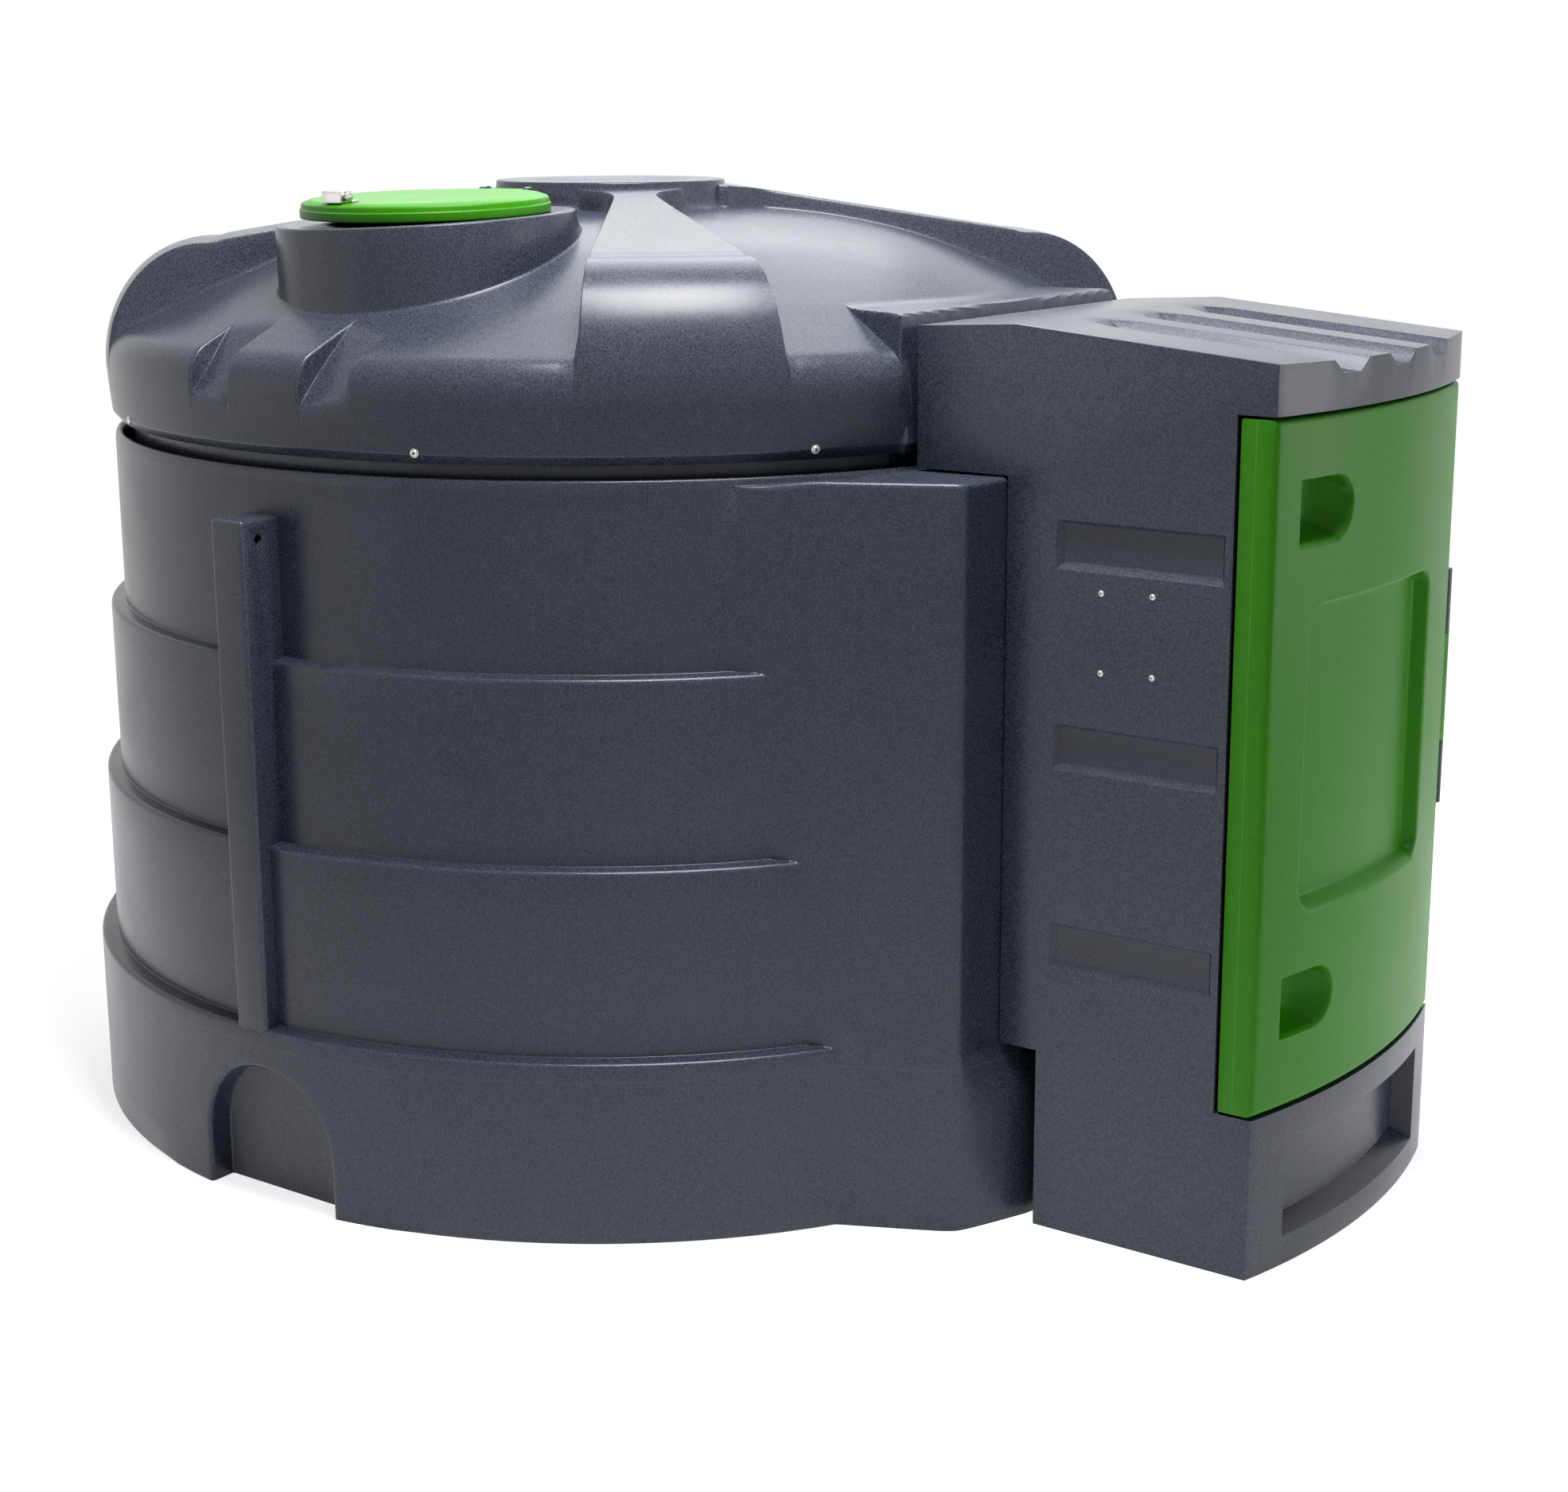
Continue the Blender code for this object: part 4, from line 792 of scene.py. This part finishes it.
notch = {"spans": ((-0.180, -0.070), (0.112, 0.216)), "lipRound": 0.007, "footRound": 0.0035, "blend": 0.005,
         "floors": (((0.942, 1.6535), (1.052, 1.5310)), ((0.923, 1.6610), (1.057, 1.5275))),
         "edge": (-0.010, -0.007, -0.0055, -0.004, -0.0027, -0.0015, -0.0007, -0.0001, 0.0001, 0.0006, 0.0012,
                  0.002, 0.0035)}


def notchProfile(base, x):
    # Station by station: cut down to a straight floor between upright side walls, lip and foot rounded
    profile = base.copy()
    outer = base[:, 0] >= rayCentre[0]
    turn, reach = toRays(base[outer])
    (highY, highZ), (lowY, lowZ) = notch["floors"][0 if x < 0.0 else 1]
    high, low = math.hypot(x, highY), math.hypot(x, lowY)
    slope = (low - high) / (highZ - lowZ)
    floor = (high - rayCentre[0] + (highZ - rayCentre[1]) * slope) / (np.cos(turn) + slope * np.sin(turn))
    depth = reach - smoothMin(reach, floor, notch["blend"])
    within = max(min(x - first, second - x) for first, second in notch["spans"])
    lip, foot = notch["lipRound"], notch["footRound"]
    scale = np.clip(depth / (lip + foot), 0.0, 1.0)
    if within <= 0.0:
        cut = lip * scale * (1.0 - math.sqrt(1.0 - min(1.0, max(0.0, 1.0 + within / lip)) ** 2))
    else:
        cut = depth - foot * scale * (1.0 - math.sqrt(1.0 - max(0.0, 1.0 - within / foot) ** 2))
    profile[outer] = fromRays(turn, reach - cut)
    return profile


def addNotches(columns, start, end, base, side):
    # Columns at constant distance across the notches, so that their walls are parallel
    steps, (left, right) = notch["edge"], notch["spans"]
    across = list(np.linspace(left[1] - steps[0], right[0] + steps[0], 20)[1:-1])
    for first, second in (left, right):
        across += [first + step for step in steps] + [second - step for step in steps]
        across += list(np.linspace(first + steps[-1], second - steps[-1], 14)[1:-1])
    reach = np.maximum(base[:, 0], 0.80)
    made = [(side * (-0.5 * math.pi + np.arcsin(x / reach)), notchProfile(base, x))
            for x in sorted(across, reverse=side < 0)]
    addPlain(columns, start, made[0][0], base, 15)
    columns.extend(made)
    addPlain(columns, made[-1][0], end, base, 15)


def addPlatform(columns, start, end, base):
    # Level top between two steep side walls, given by the angles of a wall's top and foot
    top, foot = (math.radians(angle) for angle in dome["platformSides"])
    count = 16
    wall = [(-foot + (foot - top) * k / count, k / count) for k in range(count)]
    level = [(-top + 2.0 * top * k / 40, 1.0) for k in range(41)]
    addPlain(columns, start, -foot, base, 16)
    for angle, share in wall + level + [(-angle, share) for angle, share in reversed(wall)]:
        columns.append((np.full(len(base), angle), platformProfile(base, angle, share)))
    addPlain(columns, foot, end, base, 16)


def platformProfile(plain, angle, share):
    # Level out to a steep front wall, whose distance follows the angle; a side wall rises with its share
    profile = plain.copy()
    rise = dome["platformTop"] - rayCentre[1]
    high, low = (distance / math.cos(angle) for distance in dome["platformX"])
    slope = (low - high) / (dome["platformTop"] - dome["platformFoot"])
    outer = plain[:, 0] >= rayCentre[0]
    turn, skin = toRays(plain[outer])
    facing = np.cos(turn) + slope * np.sin(turn)
    wall = np.where(facing > 0.05, (high - rayCentre[0] + rise * slope) / np.maximum(facing, 0.05), 9.0)
    level = rise / np.maximum(np.sin(turn), 0.05)
    lifted = np.maximum(smoothMax(skin, level, 0.007) - skin - 0.0016, 0.0)
    reach = smoothMin(skin + lifted, wall, 0.010)
    if share < 1.0:
        raised = smoothMin(reach, reachAt(turn, plain + np.array((0.0, dome["platformRise"] * share))), 0.003)
        reach = np.where(reach > skin, np.maximum(raised, skin), skin + (reach - skin) * share)
    profile[outer] = fromRays(turn, reach)
    return profile


def buildHub():
    top, radius = dome["hubHeight"], dome["hubRadius"]
    points = [(radius + 0.060, 1.826), (radius + 0.004, 1.846), (radius, top), (0.175, top - 0.001),
              (0.150, top - 0.006), (0.0, top - 0.007)]
    profile = roundedPath(points, [0, 0.020, 0.006, 0.02, 0.02, 0])
    hub = addPiece("domeHub", spun("domeHub", profile, dome["hubCentre"]), greyPlastic, "tank", angle=60.0)
    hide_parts("dome")


# Manhole: a neck on the dome, and a lid with its lock and hinge, all sloping down away from the hub

manhole = {"reach": 0.610, "opening": 0.262, "topCentre": 0.018, "footCentre": 0.024, "footRadius": 0.290,
           "footRound": 0.006, "topRadius": 0.2875, "topRound": 0.005, "height": 1.8425,
           "slope": (0.031, 0.040), "throat": 0.190, "lidRadius": 0.240, "lidThickness": 0.034,
           "lidRest": 1.8486, "lidLean": 0.031, "hingeReach": 0.3529, "boreRadius": 0.0064}


def tip(mesh):
    centre = Vector((0.0, -manhole["reach"], manhole["lidRest"]))
    turn = Matrix.Rotation(math.atan(manhole["lidLean"]), 4, "X")
    mesh.transform(Matrix.Translation(centre) @ turn @ Matrix.Translation(-centre))
    return mesh


def buildNeck(base):
    # The foot flares out onto the dome's skin all round, so its rings follow the skin
    centreY, foot, top = -manhole["reach"], manhole["footRadius"], manhole["topRadius"]
    lowX, highX, throat = manhole["footCentre"], manhole["topCentre"], manhole["throat"]
    flare, brim = manhole["footRound"], manhole["topRound"]
    turns = fullTurn(144)
    slope = manhole["slope"][0] * np.cos(turns) + manhole["slope"][1] * np.sin(turns)
    known = base[np.argsort(base[:, 0])]
    rings = []
    for c, s in arcSteps(8):
        radius = foot + flare - flare * s
        x, y, _ = around(turns, radius, 0.0, (lowX, centreY)).T
        skin = np.interp(np.hypot(x, y), known[:, 0], known[:, 1])
        rings.append((lowX, radius, skin + (flare - flare * c) - (0.0 if rings else 0.0012)))
    bottom, crown = rings[-1][2], manhole["height"] + slope * top
    for share in (0.25, 0.5, 0.75):
        rings.append((lowX + (highX - lowX) * share, foot + (top - foot) * share,
                      bottom + (crown - 0.010 - bottom) * share))
    upper = [(top - brim + brim * c, brim - brim * s) for c, s in arcSteps(5)]
    # Inside the lid's edge the top lies a little lower, clear of the lid
    upper += [(0.264, 0.0), (0.252, 0.004), (throat + 0.004, 0.005), (throat, 0.009), (throat, 0.017)]
    rings += [(highX, radius, manhole["height"] + slope * radius - drop) for radius, drop in upper]
    vertices, _, faces = closedGrid([around(turns, radius, level, (x, centreY))
                                     for x, radius, level in rings])
    neck = addPiece("manholeNeck", meshFrom("manholeNeck", vertices, faces), greyPlastic, "tank", angle=50.0)
    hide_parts("dome")


def buildLid():
    rest, radius = manhole["lidRest"], manhole["lidRadius"]
    top = rest + manhole["lidThickness"]
    points = [(0.0, rest + 0.004), (radius - 0.012, rest + 0.004), (radius - 0.010, rest), (radius, rest),
              (radius, rest + 0.016), (radius - 0.0025, rest + 0.018), (radius - 0.004, top - 0.006),
              (radius - 0.022, top), (0.120, top - 0.002), (0.0, top - 0.002)]
    profile = roundedPath(points, [0, 0.002, 0.001, 0.003, 0.001, 0.001, 0.006, 0.012, 0.02, 0], steps=3)
    plate = spun("lidPlate", profile, (manhole["topCentre"], -manhole["reach"]))
    hingeY, hingeZ = -manhole["hingeReach"], rest + manhole["lidThickness"] * 0.5
    half, reach = manhole["lidThickness"] * 0.5 - 0.002, math.pi / 2 - 0.2
    tongue = [(hingeY - 0.055, rest + 0.004), (hingeY, hingeZ - half)]
    tongue += arcPoints((hingeY, hingeZ), half, np.linspace(-reach, reach, 12))
    tongue += [(hingeY, hingeZ + half), (hingeY - 0.055, top - 0.004)]
    bore = rodMesh("lidBore", manhole["boreRadius"], (hingeY, hingeZ), 20, -0.2, 0.2, "X")
    knuckle = prismMesh("lidKnuckle", tongue, -0.050, 0.050, "X")
    knuckle = carved("lidKnuckle", knuckle, cuts=[bore], bevel=0.003, segments=2)
    lidPlate = addPiece("lidPlate", tip(plate), greenPlastic, "lid", angle=50.0)
    lidKnuckle = addPiece("lidKnuckle", tip(knuckle), greenPlastic, "lid")
    for thing in (lidPlate, lidKnuckle):
        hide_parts("manhole_lid")
    buildLock(-manhole["reach"] - radius + 0.012, top)
    buildHingeEnds(hingeY, hingeZ)


lock = {"gap": 0.0003, "height": 0.0215, "axisHeight": 0.0110, "holeRadius": 0.0065, "bodyRound": 0.0012,
        "plateRound": 0.0008, "plateHeight": 0.0035,
        "barrel": ((0.0, 0.0), (0.0058, 0.0), (0.0062, 0.001), (0.0062, 0.014), (0.0084, 0.0145),
                   (0.0088, 0.0155), (0.0088, 0.0190), (0.0070, 0.0206), (0.0, 0.0212))}


def buildLock(outerY, top):
    # Steel hasp and cylinder lock on the lid's far edge
    rest = top + lock["gap"]
    axisY, axisZ = outerY + 0.015, rest + lock["axisHeight"]
    body = boxMesh("lockBody", (-0.030, outerY), (0.018, outerY + 0.030), rest, rest + lock["height"])
    hole = rodMesh("lockBodyHole", lock["holeRadius"], (axisY, axisZ), 24, 0.006, 0.1, "X")
    slot = boxMesh("lockSlot", (-0.024, outerY + 0.018), (-0.004, outerY + 0.026), rest + 0.019, rest + 0.05)
    body = carved("lockBody", body, cuts=[hole, slot], bevel=lock["bodyRound"], segments=2)
    lockBody = addPiece("lockBody", tip(body), steel, "lid")
    barrel = spunAlongX("lockBarrel", lock["barrel"], (0.008, axisY, axisZ))
    lockBarrel = addPiece("lockBarrel", tip(barrel), steel, "lid")
    corner, opposite = (-0.028, outerY + 0.026), (0.022, outerY + 0.044)
    plate = boxMesh("lockPlate", corner, opposite, rest, rest + lock["plateHeight"])
    plate = carved("lockPlate", plate, bevel=lock["plateRound"], segments=2)
    lockPlate = addPiece("lockPlate", tip(plate), steel, "lid")
    for thing in (lockBody, lockBarrel, lockPlate):
        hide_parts("lid_lock")


nut = {"place": 0.0656, "profile": ((0.0, 0.0), (0.0105, 0.0), (0.0105, 0.002), (0.0088, 0.0022),
                                    (0.0088, 0.0060), (0.0072, 0.0092), (0.0040, 0.0112), (0.0, 0.0118))}


def buildHingeEnds(hingeY, hingeZ):
    # Domed nuts on both ends of the lid's hinge bolt
    for name, side in (("lidNutLeft", -1.0), ("lidNutRight", 1.0)):
        profile = [(radius, side * out) for radius, out in nut["profile"]]
        mesh = spunAlongX(name, profile, (side * nut["place"], hingeY, hingeZ))
        addPiece(name, tip(mesh), steel, "tank")


# Cabinet

cabinet = {"halfWidth": 0.390, "wall": 0.008, "frontRadius": 1.507, "frontX": 1.764, "sideFront": 1.640,
           "footBack": 1.274, "footHeight": 0.345, "back": 1.1953, "hoodBack": 1.003, "hoodBottom": 1.4083,
           "plinthTop": 0.303, "browBottom": 1.545, "roofFront": 1.628, "roofCrest": (1.205, 1.676),
           "roofBack": 1.665, "edgeRound": 0.008,
           "cavity": [(1.2823, 0.3036), (1.70, 0.3036), (1.70, 1.5444), (1.668, 1.5444), (1.668, 1.585),
                      (1.2033, 1.63), (1.011, 1.63), (1.011, 1.4163), (1.2033, 1.4163), (1.2033, 0.353),
                      (1.2823, 0.353)],
           "footCavity": [(1.2823, -0.1), (1.66, -0.1), (1.66, 0.293), (1.2823, 0.293)],
           "recesses": ((0.509, 0.598), (0.885, 0.971), (1.250, 1.340)), "recessX": (1.296, 1.626),
           "recessDepth": 0.014, "recessFlare": (0.011, 0.010, 0.014, 0.008), "recessBacking": 0.006,
           "grooves": (-0.186, 0.0, 0.186), "grooveTop": 0.090, "grooveBottom": 0.052, "grooveDepth": 0.024,
           "grooveStart": 1.285, "grooveRun": 0.022, "bandHalfWidth": 0.287, "band": (0.055, 0.243),
           "bandDepth": 0.044}


def frontX(y):
    radius = cabinet["frontRadius"]
    return cabinet["frontX"] - radius + np.sqrt(radius * radius - np.asarray(y, dtype=float) ** 2)


def roofHeight(x):
    crestX, crestZ = cabinet["roofCrest"]
    share = (x - crestX) / (cabinet["frontX"] - crestX)
    return crestZ + (cabinet["roofFront"] - crestZ) * share


def cabinetSection(front):
    # Outline of the cabinet, seen from the side, out to the front's distance at one place
    foot, footTop, plinth, brow, side, back, hood, hoodBottom = (cabinet[key] for key in (
        "footBack", "footHeight", "plinthTop", "browBottom", "sideFront", "back", "hoodBack", "hoodBottom"))
    return [(foot, 0.0), (front, 0.0), (front, plinth), (side, plinth), (side, brow), (front, brow),
            (front, roofHeight(front)), cabinet["roofCrest"], (hood, cabinet["roofBack"]), (hood, hoodBottom),
            (back, hoodBottom), (back, footTop), (foot, footTop)]


def sideRecess(low, high, side):
    # Sunk field with sloping edges, and the backing that keeps the wall closed behind it
    left, right = cabinet["recessX"]
    atLeft, atRight, below, above = cabinet["recessFlare"]
    half, deep, backing = cabinet["halfWidth"], cabinet["recessDepth"], cabinet["recessBacking"]
    rings = []
    for depth, grow in ((-0.014, 1.9), (deep, 0.0)):
        y, flare = side * (half - depth), 1.0 - grow
        x, farX = left + atLeft * flare, right - atRight * flare
        z, farZ = low + below * flare, high - above * flare
        rings.append([(x, y, z), (farX, y, z), (farX, y, farZ), (x, y, farZ)])
    edges = sorted((side * (half - deep - backing), side * (half - 0.004)))
    corner, opposite = (left - 0.006, low - 0.006), (right + 0.003, high + 0.006)
    return loftMesh("cabinetRecess", rings), boxMesh("cabinetBacking", corner, opposite, *edges, "Y")


def roofGroove(middle):
    # Sloping sides, running out level at the back and open at the front
    start, run, sunk = cabinet["grooveStart"], cabinet["grooveRun"], cabinet["grooveDepth"]
    bottom, top = cabinet["grooveBottom"] * 0.5, cabinet["grooveTop"] * 0.5
    wide = top + (top - bottom) * 1.2 / sunk * 0.02 + 0.010
    rings = []
    for x, share in ((start - run, -0.02), (start + run, 1.0), (1.95, 1.0)):
        roof = roofHeight(x)
        floor, above = roof - sunk * share, roof + 0.014
        rings.append([(x, middle - bottom, floor), (x, middle + bottom, floor), (x, middle + wide, above),
                      (x, middle - wide, above)])
    return loftMesh("cabinetGroove", rings)


def plinthBand():
    # Curved band: each ring is a lower row and then an upper row in reverse, closed by strips
    low, high = cabinet["band"]
    rings = []
    for depth, grow, rise in ((-0.02, 0.009, 0.0), (cabinet["bandDepth"], -0.008, 0.012)):
        half = cabinet["bandHalfWidth"] + grow
        ys = np.linspace(-half, half, 25)
        rings.append([(float(frontX(y)) - depth, float(y), z) for z, row in (
            (low - grow + rise, ys), (high + grow * 0.4, ys[::-1])) for y in row])
    size = len(rings[0])
    faces = [(start + k, start + k + 1, start + size - 2 - k, start + size - 1 - k)
             for start in (0, size) for k in range(size // 2 - 1)]
    faces += [(k, (k + 1) % size, size + (k + 1) % size, size + k) for k in range(size)]
    return reworked(meshFrom("plinthRecess", rings[0] + rings[1], faces))


def buildCabinet():
    half = cabinet["halfWidth"]
    inner = half - cabinet["wall"]
    body = loftMesh("cabinetBody", [[(x, y, z) for x, z in cabinetSection(float(frontX(y)))]
                                    for y in np.linspace(-half, half, 41)])
    cuts = [prismMesh("cabinetCavity", cabinet["cavity"], -inner, inner, "Y"),
            prismMesh("cabinetFoot", cabinet["footCavity"], -inner, inner, "Y")]
    cuts += [roofGroove(middle) for middle in cabinet["grooves"]] + [plinthBand()]
    pairs = [sideRecess(low, high, side) for low, high in cabinet["recesses"] for side in (-1.0, 1.0)]
    recesses, backings = zip(*pairs)
    mesh = carved("cabinetBody", body, cuts=cuts, joins=backings, laterCuts=recesses,
                  bevel=cabinet["edgeRound"], segments=4, angle=28.0)
    shell = addPiece("cabinetBody", mesh, greyPlastic, "tank")
    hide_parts("cabinet_left_wall", "cabinet_right_wall", "cabinet_back_wall", "cabinet_roof",
                "cabinet_plinth", "cabinet_floor")


# Low round heads: a washer and a socket, drawn in shares of the radius and the height
heads = {"outline": ((0.0, -0.3), (0.27, -0.3), (0.30, 0.97), (0.45, 0.98), (0.66, 0.70), (0.72, 0.30),
                     (0.96, 0.26), (1.0, 0.0)), "skirt": 0.002, "steps": 20}
rivets = {"places": ((1.389, 1.216), (1.490, 1.220), (1.391, 1.073), (1.493, 1.077)), "radius": 0.0058,
          "height": 0.0028}
screws = {"angles": (-161.7, -116.7, -71.3, -32.1, 32.1, 71.3, 116.7, 161.7), "reach": 1.0612,
          "level": 1.4530, "radius": 0.0085, "height": 0.0048}


def addHead(name, number, centre, outward, size):
    radius, height = size["radius"], size["height"]
    profile = [(radius * out, height * up) for out, up in heads["outline"]] + [(radius, -heads["skirt"])]
    turn = Vector(outward).normalized().to_track_quat("Z", "Y").to_matrix()
    rings = [[Vector(centre) + turn @ Vector((x, y, h))
              for x, y in arcPoints((0.0, 0.0), r, fullTurn(heads["steps"]))] for r, h in profile]
    addPiece(f"{name}{number}", weldedRings(name, rings, 0.00001), steel, "tank")


def buildFasteners():
    for number, (x, z) in enumerate(rivets["places"]):
        addHead("cabinetRivet", number, (x, -cabinet["halfWidth"] + 0.0002, z), (0.0, -1.0, 0.0), rivets)
    for number, turn in enumerate(map(math.radians, screws["angles"])):
        out = Vector((math.cos(turn), math.sin(turn), -0.05))
        place = (screws["reach"] * out.x, screws["reach"] * out.y, screws["level"])
        addHead("domeScrew", number, place, out, screws)


# Door

door = {"back": 1.6455, "left": -0.390, "right": 0.388, "bottom": 0.3085, "top": 1.5395, "edgeRound": 0.010,
        "fineStep": 0.0021, "coarseStep": 0.0070, "pocketLow": (0.438, 1.320), "pocketHeight": 0.114,
        "pocketLeft": -0.322, "pocketRight": -0.163, "pocketDepth": 0.066,
        "panel": (-0.281, 0.203, 0.665, 1.213), "panelDepth": 0.028, "panelCorner": 0.046,
        "panelSlope": 0.020, "hinge": (1.700, 0.405), "knuckleRadius": 0.012, "boreRadius": 0.0053,
        "knuckle": (0.840, 1.053)}


def doorLines(low, high, spans):
    # Grid lines, closer together inside the spans
    lines = [low]
    while lines[-1] < high - 1e-9:
        here = lines[-1]
        fine = any(first <= here <= last for first, last in spans)
        lines.append(min(high, here + (door["fineStep"] if fine else door["coarseStep"])))
    return np.array(lines)


def softRamp(value, width, rounding):
    # Straight slope from 0 to 1 with rounded ends
    return np.clip(smoothMin(smoothMax(value, 0.0, rounding), width, rounding) / width, 0.0, 1.0)


def doorDepth(y, z):
    # Scoops: upright left and top walls, long slopes up to the bottom and the right
    depth = np.zeros_like(y)
    half = door["pocketHeight"] * 0.5
    endY = door["pocketRight"] - half
    for low in door["pocketLow"]:
        middle = low + half
        tall = np.sqrt(np.clip(half ** 2 - np.maximum(y - endY, 0.0) ** 2, 0.0, None))
        above, below = middle + tall - z, z - middle + tall
        share = smoothStep(0.0, 0.007, above) * smoothStep(0.0, 0.005, y - door["pocketLeft"])
        for gap, width in ((below, 0.050), (door["pocketRight"] - y, 0.080)):
            share = share * (1.0 - (1.0 - np.clip(gap / width, 0.0, 1.0)) ** 2.2)
        depth = np.maximum(depth, door["pocketDepth"] * share)
    left, right, bottom, top = door["panel"]
    corner, slope = door["panelCorner"], door["panelSlope"]
    dy = np.abs(y - (left + right) * 0.5) - (right - left) * 0.5 + corner
    dz = np.abs(z - (bottom + top) * 0.5) - (top - bottom) * 0.5 + corner
    inside = corner - np.hypot(np.maximum(dy, 0.0), np.maximum(dz, 0.0)) - np.minimum(np.maximum(dy, dz), 0.0)
    share = np.minimum(softRamp(inside, 0.006, 0.002), softRamp(right - y, slope, 0.003))
    return depth + door["panelDepth"] * np.minimum(share, softRamp(z - bottom, slope * 0.8, 0.003))


def buildDoor():
    left, right, bottom, top = door["panel"]
    size, near, edge = door["edgeRound"], 0.004, 0.026
    pockets = [(low - 0.003, low + door["pocketHeight"] + 0.003) for low in door["pocketLow"]]
    ys = doorLines(door["left"] + size, door["right"] - size, [
        (left - near, left + edge), (right - edge, right + near),
        (door["pocketLeft"] - 0.003, door["pocketRight"] + 0.003)])
    zs = doorLines(door["bottom"] + size, door["top"] - size, [
        (bottom - near, bottom + edge), (top - edge, top + near), *pockets])
    y, z = np.meshgrid(ys, zs)
    index = np.arange(y.size).reshape(y.shape)
    faces = gridFaces(index).tolist()
    vertices = np.stack([frontX(y) - doorDepth(y, z), y, z], axis=-1).reshape(-1, 3).tolist()
    rim = [*index[0, :], *index[1:, -1], *index[-1, -2::-1], *index[-2:0:-1, 0]]
    corners = [vertices[v][1:] for v in rim]

    def moved(value, lines, low, high, grow):
        # Rim values grow outward from the first and the last line; those in between stay
        if abs(value - lines[0]) < 1e-9:
            return low + size - grow
        return high - size + grow if abs(value - lines[-1]) < 1e-9 else value

    def ring(grow, sink=None):
        # With a sink it follows the curved front, without one it lies in the flat inner face
        made = []
        for py, pz in corners:
            ny = moved(py, ys, door["left"], door["right"], grow)
            nz = moved(pz, zs, door["bottom"], door["top"], grow)
            made.append((door["back"] if sink is None else float(frontX(ny)) - sink, ny, nz))
        return made

    # The rim rolls over to the sides and runs back to a flat inner face
    rings = [ring(size * s, size * (1 - c)) for c, s in arcSteps(5, 1)]
    rings.append([(door["back"] + 0.004, y, z) for _, y, z in ring(size)])
    rings += [ring(size - inset) for inset in (0.004, 0.016)]
    faces.append(tuple(addRings(vertices, faces, rim, rings)))
    panel = addPiece("doorPanel", meshFrom("doorPanel", vertices, faces), doorPlasticSeamLit, "door", angle=60.0)

    hingeX, hingeY = door["hinge"]
    radius, side = door["knuckleRadius"], door["right"] - 0.006
    outline = [(hingeX - 0.045, side), (hingeX + 0.010, side)]
    outline += arcPoints(door["hinge"], radius, np.linspace(0.0, math.pi * 0.8, 12))
    outline.append((hingeX - 0.016, hingeY + radius * 0.6))
    bore = rodMesh("doorBore", door["boreRadius"], (hingeX, hingeY), 20, 0.7, 1.2)
    knuckle = prismMesh("doorKnuckle", outline, *door["knuckle"])
    knuckle = carved("doorKnuckle", knuckle, cuts=[bore], bevel=0.003, segments=3)
    knuckle = addPiece("doorKnuckle", knuckle, doorPlasticSeamLit, "door")
    for thing in (panel, knuckle):
        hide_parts("door")


def dressNodes():
    # CAD nodes that stay get the same materials
    for name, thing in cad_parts.items():
        thing.data.materials.clear()
        thing.data.materials.append(steel if name in ("door_hinge_pin", "lid_hinge_pin") else greyPlastic)


buildCamera(cameraSetup)
buildStudio(studio)
dressNodes()
print("stage: bund")
buildBund()
buildPosts()
print("stage: dome")
skinProfile = buildDome()
buildHub()
buildNeck(skinProfile)
print("stage: lid and cabinet")
buildLid()
buildCabinet()
buildFasteners()
print("stage: door")
buildDoor()
